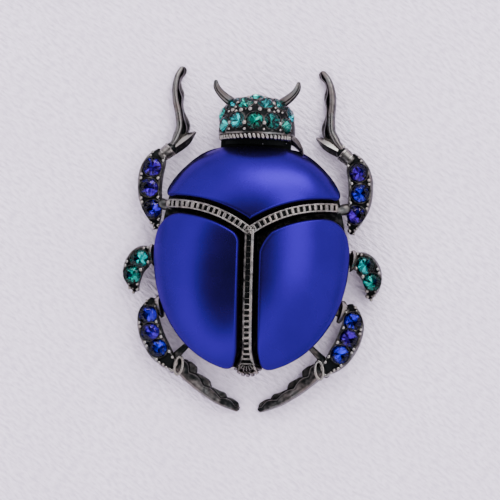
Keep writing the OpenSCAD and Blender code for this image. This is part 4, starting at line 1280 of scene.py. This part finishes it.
# %% Bright fittings
KNEE_WAY, KNEE_RING_Z = np.array([-0.77, 0.64]), 2.55
KNEE_RINGS = [ # start, end, radius, relief
    (0.25, 0.62, 1.12, 1.3),
    (-0.95, -0.6, 1.0, 1.1),
    (-1.4, 0.4, 0.96, 0.5)]
KNUCKLE_TURN, HOOP_TURN, HOOP_W, HOOP_R = math.radians(118), -0.35, 1.15, 0.24
KNUCKLE_HOOPS = [(-0.6, 2.85, 2.6), (0.42, 2.65, 2.4)] # shift, height, length
LEAF = rounded([
    (-0.9, 0, 0.1), (0.9, 0, 0.1), (1, 0.35, 0.4), (0.85, 0.5, 1.2), (0.05, 0.95, 1.5), (-0.12, 1, 1.5),
    (-0.3, 0.88, 0.2), (-0.8, 0.6, 1.1), (-1, 0.35, 0.3)], 2)
MID_LUG = [(-0.1, 1.5, 0.3), (0.1, 0.8, 0.52), (0.05, 0, 0.5), (-0.15, -0.8, 0.34), (-0.45, -1.5, 0.12)]
HIND_LUG = [(0.1, 1.4, 0.34), (0.22, 0.7, 0.6), (0.1, -0.1, 0.62), (-0.15, -0.9, 0.5), (-0.5, -1.6, 0.25)]


def lug(clay, root, leaf, top, thick=1.0):
    """Pointed lug; its leaf is a table of x and y from the root and the half width there."""
    rows = [(root[0] + x, root[1] + y, half, top - thick * (0.5 + half), top) for x, y, half in leaf]
    limb(clay, rows, LEAF, steps=5, noses=(0.4, 0.4))


def fittings():
    """Bright parts of the right side: knee rings, lugs over the leg roots, hoops of the hind knuckle."""
    clay = Clay()
    for start, end, radius, relief in KNEE_RINGS:
        p, q = front_knee + KNEE_WAY * start, front_knee + KNEE_WAY * end
        drum(clay, (*p, KNEE_RING_Z), (*q, KNEE_RING_Z), radius, relief)
    lug(clay, mid_root + (0.5, 0), MID_LUG, TRAY_TOP + 0.35)
    lug(clay, hind_root + (0.48, 0), HIND_LUG, TRAY_TOP + 0.2)
    across = np.array([math.sin(KNUCKLE_TURN), -math.cos(KNUCKLE_TURN)])
    for shift, height, length in KNUCKLE_HOOPS:
        centre = (*(hind_knee + across * shift), height)
        hoop(clay, centre, KNUCKLE_TURN + HOOP_TURN, length, HOOP_W, HOOP_R, 1.2)
    return clay


print("fittings of a side:", len(fittings().faces), "faces")

# %% Make the legs
KNEE_EGG = (*front_knee, 2.4), math.radians(140), (1.5, 1.05, 0.9)
KNUCKLE_EGG = (*hind_knee, 2.1), KNUCKLE_TURN, (1.5, 0.78, 0.78)


def front_leg():
    clay = thigh("front")
    x, y = ARM_END
    edge = front_thigh[3, 0] - front_thigh[3, 2] + 0.1
    bar(clay, (x - 0.9, y - 0.1, TRAY_TOP - 0.5), (edge, y + 0.3, TRAY_TOP - 0.95), 0.75, 0.85, 0.55)
    egg(clay, *KNEE_EGG)
    return clay


def hind_leg():
    """The root bar, the strut to the knee, the knuckle and the shin join the hind thigh."""
    clay = thigh("hind")
    x, y = hind_root
    bar(clay, (x - 1.2, y, TRAY_TOP - 0.75), (x + 1.4, y - 0.2, TRAY_TOP - 1.2), 0.55, 0.8, 0.4)
    strut_y = y - 5.3
    bar(clay, (wing_edge(strut_y) - 0.8, strut_y + 0.3, TRAY_TOP - 0.7),
        (hind_knee[0] + 0.1, hind_knee[1] + 1, TRAY_TOP - 1.5), 0.4, 0.6, 0.3)
    egg(clay, *KNUCKLE_EGG)
    limb(clay, hind_shin, hind_section, steps=8)
    return clay


for side, title in ((1, "right"), (-1, "left")):
    bright = Clay().join(fittings(), mirror=side < 0).join(shin_part(side, "spur"))
    cast_piece(title + "_leg_fittings", bright, [SILVER])
    for name, clay in (("front", front_leg()), ("mid", mid_leg_clay), ("hind", hind_leg())):
        cast_piece(f"{title}_{name}_leg", Clay().join(clay, mirror=side < 0), [GUNMETAL])
    cast_piece(title + "_front_shin", shin_part(side, "shin"), [GUNMETAL])

# %% [markdown]
# ## Head
# A short barrel vault, closed in front by a rounded slope, covered in stones and beads. A black neck
# joins it to the body. A stretched ball would be too round, so a formula with two powers gives the
# vault, and it also gives the direction of each stone.

# %% Head formulas
HEAD_W, HEAD_LEN, HEAD_TOP, HEAD_BASE, HEAD_SINK = 11.1, 5.8, 8.4, 2.2, 2.3
NECK_LEN, NECK_W, NECK_TOP = 1.6, 10.2, 4.9
HEAD_PLAN_POWER, HEAD_ARCH_POWER = 2.8, 2.3
HEAD_BACK = CHEST_FRONT + NECK_LEN
HEAD_MID_Z = (HEAD_BASE + HEAD_TOP) / 2 - HEAD_SINK
HEAD_RISE = HEAD_TOP - HEAD_MID_Z


def head_point(turn, ahead):
    """Point of the head, from the turn over its arch and the angle forward, in degrees."""
    a, b = math.radians(turn), math.radians(ahead)
    shrink = max(0.0, math.cos(b)) ** (2 / HEAD_PLAN_POWER)
    return np.array([
        HEAD_W / 2 * shrink * signed_power(math.sin(a), 2 / HEAD_ARCH_POWER),
        HEAD_BACK + HEAD_LEN * signed_power(math.sin(b), 2 / HEAD_PLAN_POWER),
        HEAD_MID_Z + HEAD_RISE * shrink * max(0.0, math.cos(a)) ** (2 / HEAD_ARCH_POWER)])


def head_normal(turn, ahead):
    across = head_point(turn + 1, ahead) - head_point(turn - 1, ahead)
    along = head_point(turn, ahead + 1) - head_point(turn, ahead - 1)
    normal = np.cross(across, along)
    return normal / np.linalg.norm(normal)


def head_seat(angles):
    normal = head_normal(*angles)
    return head_point(*angles) - normal * GIRDLE_DROP, normal


def paired(places):
    """Each place that is off the middle twice, to the right and to the left."""
    return [(turn * side, ahead) for turn, ahead in places for side in ((1, -1) if turn else (1,))]


HEAD_STONES = paired([(0, 12), (25, 12), (54, 8), (71, 25), (17, 46), (50, 44), (0, 68)])
print("stones on the head:", len(HEAD_STONES))

# %% Horns and shoulder lug
HORN_ROOT, HORN_REACH, HORN_LEN, HORN_D = head_point(66, 50), 2.3, 2.95, 1.5
HORN = [ # out, run, lift, thickness
    (-0.20, -0.15, -0.10, 1.10),
    (0.00, 0.00, 0.00, 1.00),
    (0.40, 0.22, 0.12, 0.88),
    (0.76, 0.49, 0.20, 0.74),
    (0.94, 0.74, 0.24, 0.64),
    (0.99, 0.97, 0.24, 0.40)]
HORN_SECTION = rounded([
    (-0.6, 0.05, 0.1), (0.6, 0.05, 0.1), (1, 0.5, 0.2), (0.8, 0.85, 0.3), (0.5, 1, 1.6), (0.05, 0.92, 1.5),
    (-0.2, 0.84, 0.0), (-0.45, 0.96, 1.0), (-0.75, 0.85, 0.3), (-1, 0.5, 0.1)], 2)
SHOULDER = [
    (-0.2, -0.1, 0.45), (0.35, -0.55, 0.62), (0.95, -1.15, 0.5), (1.5, -1.9, 0.32), (1.85, -2.6, 0.12)]


def horn(clay):
    rows = []
    for out, run, lift, thick in HORN:
        r, z = thick * HORN_D / 2, HORN_ROOT[2] + lift * HORN_LEN
        rows.append((HORN_ROOT[0] + out * HORN_REACH, HORN_ROOT[1] + run * HORN_LEN, r, z - r, z + r))
    limb(clay, rows, HORN_SECTION, steps=5, noses=(0, 0.8))


shoulder, one_horn = Clay(), Clay()
lug(shoulder, (NECK_W / 2, HEAD_BACK), SHOULDER, TRAY_TOP + 1.1, 1.6)
horn(one_horn)
print("horn:", len(one_horn.faces), "faces")

# %% Head shell and neck
SHELL_RELIEF, BACK_RELIEF, NECK_POWER = 0.15, 1.3, 0.8
PLATE_SIDES = (CHEST_FRONT - 1.5, CHEST_FRONT + NECK_LEN + 0.5)


def head_shell(clay):
    arch = np.linspace(-90, 90, 221)
    rings = []
    for ahead in np.linspace(0, 88, 85):
        x, y, _ = head_point(90, ahead)
        rings.append([head_point(a, ahead) for a in arch] + [(x, y, HEAD_BASE), (-x, y, HEAD_BASE)])
    relief = np.full((len(rings), 1), SHELL_RELIEF)
    relief[0] = BACK_RELIEF
    clay.skin(*carved(rings, relief, [head_seat(angles) for angles in HEAD_STONES], HEAD_STONE_D / 2))


def neck(clay):
    """Arched collar behind the head, and the flat plate below it that runs under the chest."""
    half, rise = NECK_W / 2, NECK_TOP - TRAY_Z
    arch = [(half * signed_power(math.cos(a), NECK_POWER), TRAY_Z + rise * math.sin(a) ** NECK_POWER)
            for a in np.linspace(0, math.pi, 31)]
    clay.skin([[(x, y, z) for x, z in arch] for y in (HEAD_BACK + 0.6, HEAD_BACK + 0.3 - NECK_LEN)], 0.05)
    near, far = PLATE_SIDES
    corners = [(-half, near), (half, near), (half, far), (-half, far)]
    clay.skin([[(x, y, z) for x, y in corners] for z in (TRAY_Z + BACK_DEPTH, TRAY_TOP)], 0.1)


whole_head = Clay()
head_shell(whole_head)
neck(whole_head)
whole_head.join(one_horn).join(one_horn, mirror=True)
print("head:", len(whole_head.faces), "faces")

# %% Make the head
BACK_LIMIT, BACK_REACH = -0.95, 0.1

head_mesh = to_mesh("head", whole_head)
for face in head_mesh.polygons: # the flat back of the vault shines
    if face.normal.y < BACK_LIMIT and face.center.y < (HEAD_BACK + BACK_REACH) * MM:
        face.material_index = 1
cast_piece("head", head_mesh, [GUNMETAL, SILVER])
cast_piece("shoulder_lug", shoulder, [SILVER])

# %% [markdown]
# ## Rope
# A twisted rope runs over the rear edge of the head. Two or three strands could be wound round each
# other, but on the casting it is a row of slanting bulges. So the tree puts a long ball at each step of
# the arch, turned to the outward direction and then slanted about it.

# %% Tree for the rope


def rope_tree():
    tree, given, result = open_tree("Twisted rope", [
        ("Strand Radius", "Float", 0.0003), ("Stretch", "Float", 1.8), ("Slant", "Float", 0.9),
        ("Count", "Int", 52), ("Seed", "Int", 2)])
    line = signal(tree, "GeometryNodeMeshToCurve", {"Mesh": given["Geometry"]})
    spots = resampled(tree, line, "Count", given["Count"])
    tangent = signal(tree, "GeometryNodeInputTangent")
    outwards = facing(tree, attribute(tree, "up", "FLOAT_VECTOR"), tangent, "ZX")
    slant = signal(tree, "FunctionNodeAxisAngleToRotation", {"Axis": (0, 0, 1), "Angle": given["Slant"]})
    turn = signal(tree, "FunctionNodeRotateRotation", {
        "Rotation": outwards, "Rotate By": slant}, rotation_space="LOCAL")
    strand = stretched(tree, ball(tree, 10, given["Strand Radius"]), given["Stretch"], 1.0, 1.25)
    size = uneven(tree, 0.9, 1.08, given["Seed"])
    return close_tree(tree, [copies(tree, spots, strand, 1.0, turn, size)], given, result)


ROPE = rope_tree()
print("tree:", ROPE.name)

# %% Make the rope
ROPE_R, ROPE_COUNT, ROPE_STRETCH, ROPE_SLANT = 0.42, 26, 1.85, math.radians(112)


def rope():
    wide, high = HEAD_W / 2 - ROPE_R * 0.9, HEAD_RISE - ROPE_R * 0.7
    points, ups = [], []
    for a in np.radians(np.linspace(-90, 90, 91)):
        points.append((wide * math.sin(a), HEAD_BACK - ROPE_R * 0.7, HEAD_MID_Z + high * math.cos(a)))
        out = np.array([math.sin(a) * high, 0, math.cos(a) * wide])
        ups.append(out / np.linalg.norm(out))
    return grow("rope", path_mesh("rope", points, up=ups), ROPE, Strand_Radius=ROPE_R * 0.68 * MM,
                Stretch=ROPE_STRETCH, Slant=ROPE_SLANT, Count=ROPE_COUNT + 1, Seed=2, Material=SILVER)


cast_piece("rope", rope(), crease=0)

# %% [markdown]
# ## Stones
# Each stone is a round brilliant: a flat table, a crown of stars, kites and upper halves, and a cone of
# facets below. Cutting a block by planes would give the same solid. Writing down the rings of points
# and which of them make a facet is shorter, and each facet stays one face with its own painted glint.

# %% Facets of a brilliant
STAR, TOP, LOW, MAIN, TIP = 8, 16, 32, 48, 56 # first point of each ring after the eight of the table


def facets():
    """Facets of the crown and girdle, then those of the cone, as numbers of their points."""
    upper, cone = [tuple(range(8))], []
    for k in range(8):
        g, before = 2 * k, (k - 1) % 8
        last = (g - 1) % 16
        upper += [(k, STAR + k, (k + 1) % 8), (k, STAR + before, TOP + g, STAR + k),
                  (STAR + before, TOP + last, TOP + g), (STAR + k, TOP + g, TOP + g + 1)]
        cone += [(LOW + g, MAIN + before, TIP, MAIN + k), (LOW + g, MAIN + k, LOW + g + 1),
                 (LOW + g, LOW + last, MAIN + before)]
    upper += [(TOP + k, LOW + k, LOW + (k + 1) % 16, TOP + (k + 1) % 16) for k in range(16)]
    return upper, cone


CROWN, CONE = facets()
print("facets:", len(CROWN), "above,", len(CONE), "below")

# %% Shape of a brilliant
CROWN_H, PAVILION_H, GIRDLE_T = 0.4, 0.8, 0.03
TABLE_SHARE, STAR_SHARE, STAR_RISE, MAIN_SHARE, MAIN_DEPTH = 0.56, 0.79, 0.58, 0.42, 0.62


def seat_frame(normal):
    """Two directions square to the normal."""
    guide = np.array([0.0, 1.0, 0.0]) if abs(normal[1]) < 0.9 else np.array([1.0, 0.0, 0.0])
    across = np.cross(guide, normal)
    across /= np.linalg.norm(across)
    return across, np.cross(normal, across)


def brilliant(seat, radius, spin, hue):
    """Mesh of a round brilliant; the facets of its cone use the second material."""
    centre, normal = seat
    across, along = seat_frame(normal)

    def ring(count, share, height, half_turn=0.0):
        angles = 2 * math.pi * (np.arange(count) + half_turn) / count + spin
        return [centre + (across * math.cos(a) + along * math.sin(a)) * radius * share + normal * height
                for a in angles]

    points = (ring(8, TABLE_SHARE, CROWN_H) + ring(8, STAR_SHARE, CROWN_H * STAR_RISE, 0.5)
              + ring(16, 1.0, GIRDLE_T) + ring(16, 1.0, -GIRDLE_T)
              + ring(8, MAIN_SHARE, -PAVILION_H * MAIN_DEPTH, 0.5) + [centre - normal * PAVILION_H])
    mesh = closed_mesh("brilliant", points, CROWN + CONE)
    mesh.polygons.foreach_set("material_index", [0] * len(CROWN) + [1] * len(CONE))
    # painted glint: each facet gets a random brightness that the foil reads
    glints = np.random.default_rng(int(spin * 1000)).random(len(mesh.polygons)) ** 2
    mesh.attributes.new("glint", "FLOAT", "FACE").data.foreach_set("value", glints)
    mesh.attributes.new("hue", "FLOAT", "POINT").data.foreach_set("value", np.full(len(mesh.vertices), hue))
    return mesh


print("a stone is", CROWN_H + PAVILION_H, "mm deep")

# %% [markdown]
# The stones aren't all of one tint. On the legs each stone's hue is set from the photograph's lighter
# and darker stones, and on the head it only varies from one to the next.

# %% Set the stones
GOLDEN_TURN = 2.39996
HUES = { # 0 is the first tint of the glass, 1 the second
    ("front", "left"): (0.55, 0.15, 0.1), ("front", "right"): (0.0, 0.9, 0.05),
    ("mid", "left"): (0.6, 0.2), ("mid", "right"): (0.7, 0.3),
    ("hind", "left"): (0.7, 0.3, 1.0), ("hind", "right"): (0.8, 0.1, 0.9)}
stones = []
for side, title in ((-1, "left"), (1, "right")):
    for name, (_, _, _, kind) in LEGS.items():
        for i, (seat, hue) in enumerate(zip(leg_seats(name, side), HUES[name, title])):
            stones.append((f"{name}_{title}_stone_{i + 1}", seat, LEG_STONE_D / 2, kind, hue))
for i, angles in enumerate(HEAD_STONES):
    hue = i * GOLDEN_TURN % 1
    stones.append((f"head_stone_{i + 1}", head_seat(angles), HEAD_STONE_D / 2, "teal_glass", hue))
for i, (node, seat, radius, kind, hue) in enumerate(stones):
    piece("cut_" + node, brilliant(seat, radius, i * GOLDEN_TURN, hue), STONES[kind], [node], crease=0)

# %% [markdown]
# ## Prong beads
# Small beads of metal between the stones hold them down. They could be part of the skins, but a round
# bead needs more points than the skin around it. So one tree puts a slightly flattened ball on each
# place of a list and turns it to the surface.

# %% Tree for prong beads


def bead_tree():
    tree, given, result = open_tree("Prong beads", [
        ("Radius", "Float", 0.0003), ("Flatness", "Float", 0.85), ("Seed", "Int", 3)])
    flat = stretched(tree, ball(tree, 9, given["Radius"]), 1.0, 1.0, given["Flatness"])
    size = calculate(tree, "MULTIPLY", attribute(tree, "size"), uneven(tree, 0.88, 1.1, given["Seed"]))
    way = attribute(tree, "up", "FLOAT_VECTOR")
    turn = signal(tree, "FunctionNodeAlignRotationToVector", {"Vector": way}, axis="Z")
    beads = copies(tree, given["Geometry"], flat, 1.0, turn, size)
    return close_tree(tree, [beads], given, result)


BEADS = bead_tree()
print("tree:", BEADS.name)

# %% Place the beads
BEAD_R, BEAD_REACH, BEAD_REACH_SHARE, BEAD_SINK = 0.33, 1.25, 0.72, 0.02
BEAD_TRIO = ((-1, 0, 0.9), (1, -0.3, 0.75), (1, 0.3, 0.75)) # across, ahead, size
HEAD_BEADS = paired([(12.5, 9), (39, 9), (6, 30), (20, 28), (37, 28), (0, 44.5), (33, 44), (20, 66)])
SMALL_BEADS = paired([
    (13, 31), (29, 26), (46, 26), (12, 2.5), (39, 2.5), (61, 17), (33, 34), (8, 58), (42, 60)])


def leg_beads(rows, station, outer):
    """One bead on the inner side of a channel and two small ones on its outer side."""
    x, y, half, _, top = row_at(rows, station)
    step = row_at(rows, min(station + 0.1, len(rows) - 1)) - row_at(rows, station - 0.1)
    way = step[:2] / np.linalg.norm(step[:2])
    reach = min(BEAD_REACH, half * BEAD_REACH_SHARE)
    square = np.array([-way[1], way[0]]) * reach * outer
    return [((x, y) + square * across + way * ahead, top, size) for across, ahead, size in BEAD_TRIO]


places = [] # point, direction and size
for side in (-1, 1):
    for name, (rows, _, stations, _) in LEGS.items():
        for station in stations:
            for (x, y), top, size in leg_beads(rows, station, -1 if name == "front" else 1):
                places.append(((x * side, y, top - BEAD_SINK), UPWARDS, size))
for size, spots in ((1.0, HEAD_BEADS), (0.7, SMALL_BEADS)):
    places += [(head_point(*angles), head_normal(*angles), size) for angles in spots]
points, ways, sizes = zip(*places)
bead_mesh = path_mesh("prong_beads", points, edges=False, up=ways, size=sizes)
grown_beads = grow("prong_beads", bead_mesh, BEADS, Radius=BEAD_R * MM, Seed=3, Material=SILVER)
cast_piece("prong_beads", grown_beads, crease=0)

# %% [markdown]
# ## Pin
# The photograph doesn't show the pin behind the chest. A finer hinge and catch would be a guess, so the
# plain CAD shape stays and only gets its finish.

# %% Finish the pin
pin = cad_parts["pin_clasp"]
pin.data.materials.clear()
pin.data.materials.append(PIN_METAL)
print("pin finished")

# %% [markdown]
# ## Floor
# The brooch lies on a pale, slightly pink cloth whose fibres run slanting over the picture. Real threads
# would be far too many. A noise that is drawn out along the fibres does the same for a bump and for a
# painted shade in the gaps between them.

# %% Make the floor
FLOOR_HALF, FLOOR_TONES, GAP_SHADE = 0.6, ((0.86, 0.77, 0.92), (0.93, 0.84, 0.99)), (0.72, 0.64, 0.78)
FIBRES_RUN, FIBRES_LONG, FIBRE_SCALE = math.radians(-35), 2.6, 2300.0


def cloth(tree):
    tone = blend_colours(tree, clouds(tree, 60.0), *FLOOR_TONES)
    drawn = signal(tree, "ShaderNodeMapping", {
        "Vector": own_place(tree), "Rotation": (0, 0, FIBRES_RUN), "Scale": (FIBRES_LONG, 1, 1)},
        vector_type="TEXTURE")
    fibres = noise(tree, drawn, FIBRE_SCALE)
    # painted shade: where the fibre noise is low, in the gaps, the colour turns towards GAP_SHADE
    return {"Base Color": blend_colours(tree, spread(tree, fibres, 0.35, 0.6), GAP_SHADE, tone),
            "Roughness": 0.9, "Normal": bump(tree, fibres, 0.8, 0.5 * MM)}


def floor():
    mesh = bpy.data.meshes.new("floor")
    corners = [(x * FLOOR_HALF, y * FLOOR_HALF, 0) for x, y in ((-1, -1), (1, -1), (1, 1), (-1, 1))]
    mesh.from_pydata(corners, [], [(0, 1, 2, 3)])
    mesh.materials.append(new_material("pale_floor", cloth))
    add_object("floor", mesh)


floor()
print("floor:", 2 * FLOOR_HALF, "m wide")

# %% [markdown]
# ## Light
# The light is soft and comes from the upper right. Small lamps would give hard spots on the satin, so
# two broad ones stand there, and the sky gives the rest.

# %% Place the lamps
LAMPS = [ # name, degrees from straight up, degrees round from +X, distance, width, depth, watts
    ("right lamp", 29, 30, 0.55, 0.20, 0.50, 1.0),
    ("window", 54, 72, 0.55, 0.40, 0.15, 1.75)]


def add_lamp(name, tilt, turn, distance, width, depth, watts):
    data = bpy.data.lights.new(name, "AREA")
    data.shape = "RECTANGLE"
    data.size, data.size_y = width, depth
    data.energy = watts
    a, b = math.radians(tilt), math.radians(turn)
    out = Vector((math.sin(a) * math.cos(b), math.sin(a) * math.sin(b), math.cos(a)))
    add_object(name, data).matrix_world = look_from(out * distance, Vector((0, 0, 0)), Vector((0, 1, 0.01)))


for lamp in LAMPS:
    add_lamp(*lamp)
print("lamps:", len(LAMPS))

# %% [markdown]
# The sky is a white tent that gets darker towards the horizon. It has one dark patch: straight above and
# a little to the left, where the person with the camera stands, with a bright ring round it where the
# tent is lit most. The domes mirror both, and that gives them their dark bands and pale rims. Panels
# around the brooch could do the same, but a sky needs no place.

# %% Make the sky
PATCH_MIDDLE, PATCH_REACH, PATCH_LEAN = (-0.18, -0.03, 0.0), (0.41, 0.62), math.radians(24)
PATCH_CORE, PATCH_EDGE, RING_EDGE = 0.76, 1.15, 1.65
HORIZON, LOW_SKY = (0.0, 0.28), (0.50, 0.475, 0.525)
SKY, RING, PATCH, SKY_STRENGTH = (0.87, 0.82, 0.91), (1.38, 1.30, 1.45), (0.035, 0.035, 0.038), 2.6


def soft_sky():
    world = bpy.data.worlds.new("soft sky")
    bpy.context.scene.world = world
    world.use_nodes = True
    tree = world.node_tree
    way = put(tree, "ShaderNodeTexCoord").outputs["Generated"]
    off = signal(tree, "ShaderNodeVectorMath", {0: way, 1: PATCH_MIDDLE}, operation="SUBTRACT")
    turned = signal(tree, "ShaderNodeVectorRotate", {
        "Vector": off, "Angle": PATCH_LEAN}, rotation_type="Z_AXIS")
    shrink = (1 / PATCH_REACH[0], 1 / PATCH_REACH[1], 0.0)
    shares = signal(tree, "ShaderNodeVectorMath", {0: turned, 1: shrink}, operation="MULTIPLY")
    away = put(tree, "ShaderNodeVectorMath", {0: shares}, operation="LENGTH").outputs["Value"]
    height = put(tree, "ShaderNodeSeparateXYZ", {0: way}).outputs[2]
    open_sky = blend_colours(tree, spread(tree, height, *HORIZON), LOW_SKY, SKY)
    outer = blend_colours(tree, spread(tree, away, PATCH_EDGE, RING_EDGE), RING, open_sky)
    colour = blend_colours(tree, spread(tree, away, PATCH_EDGE, PATCH_CORE), outer, PATCH)
    plug_all(tree, tree.nodes["Background"], {"Color": colour, "Strength": SKY_STRENGTH})


soft_sky()
print("sky strength:", SKY_STRENGTH)
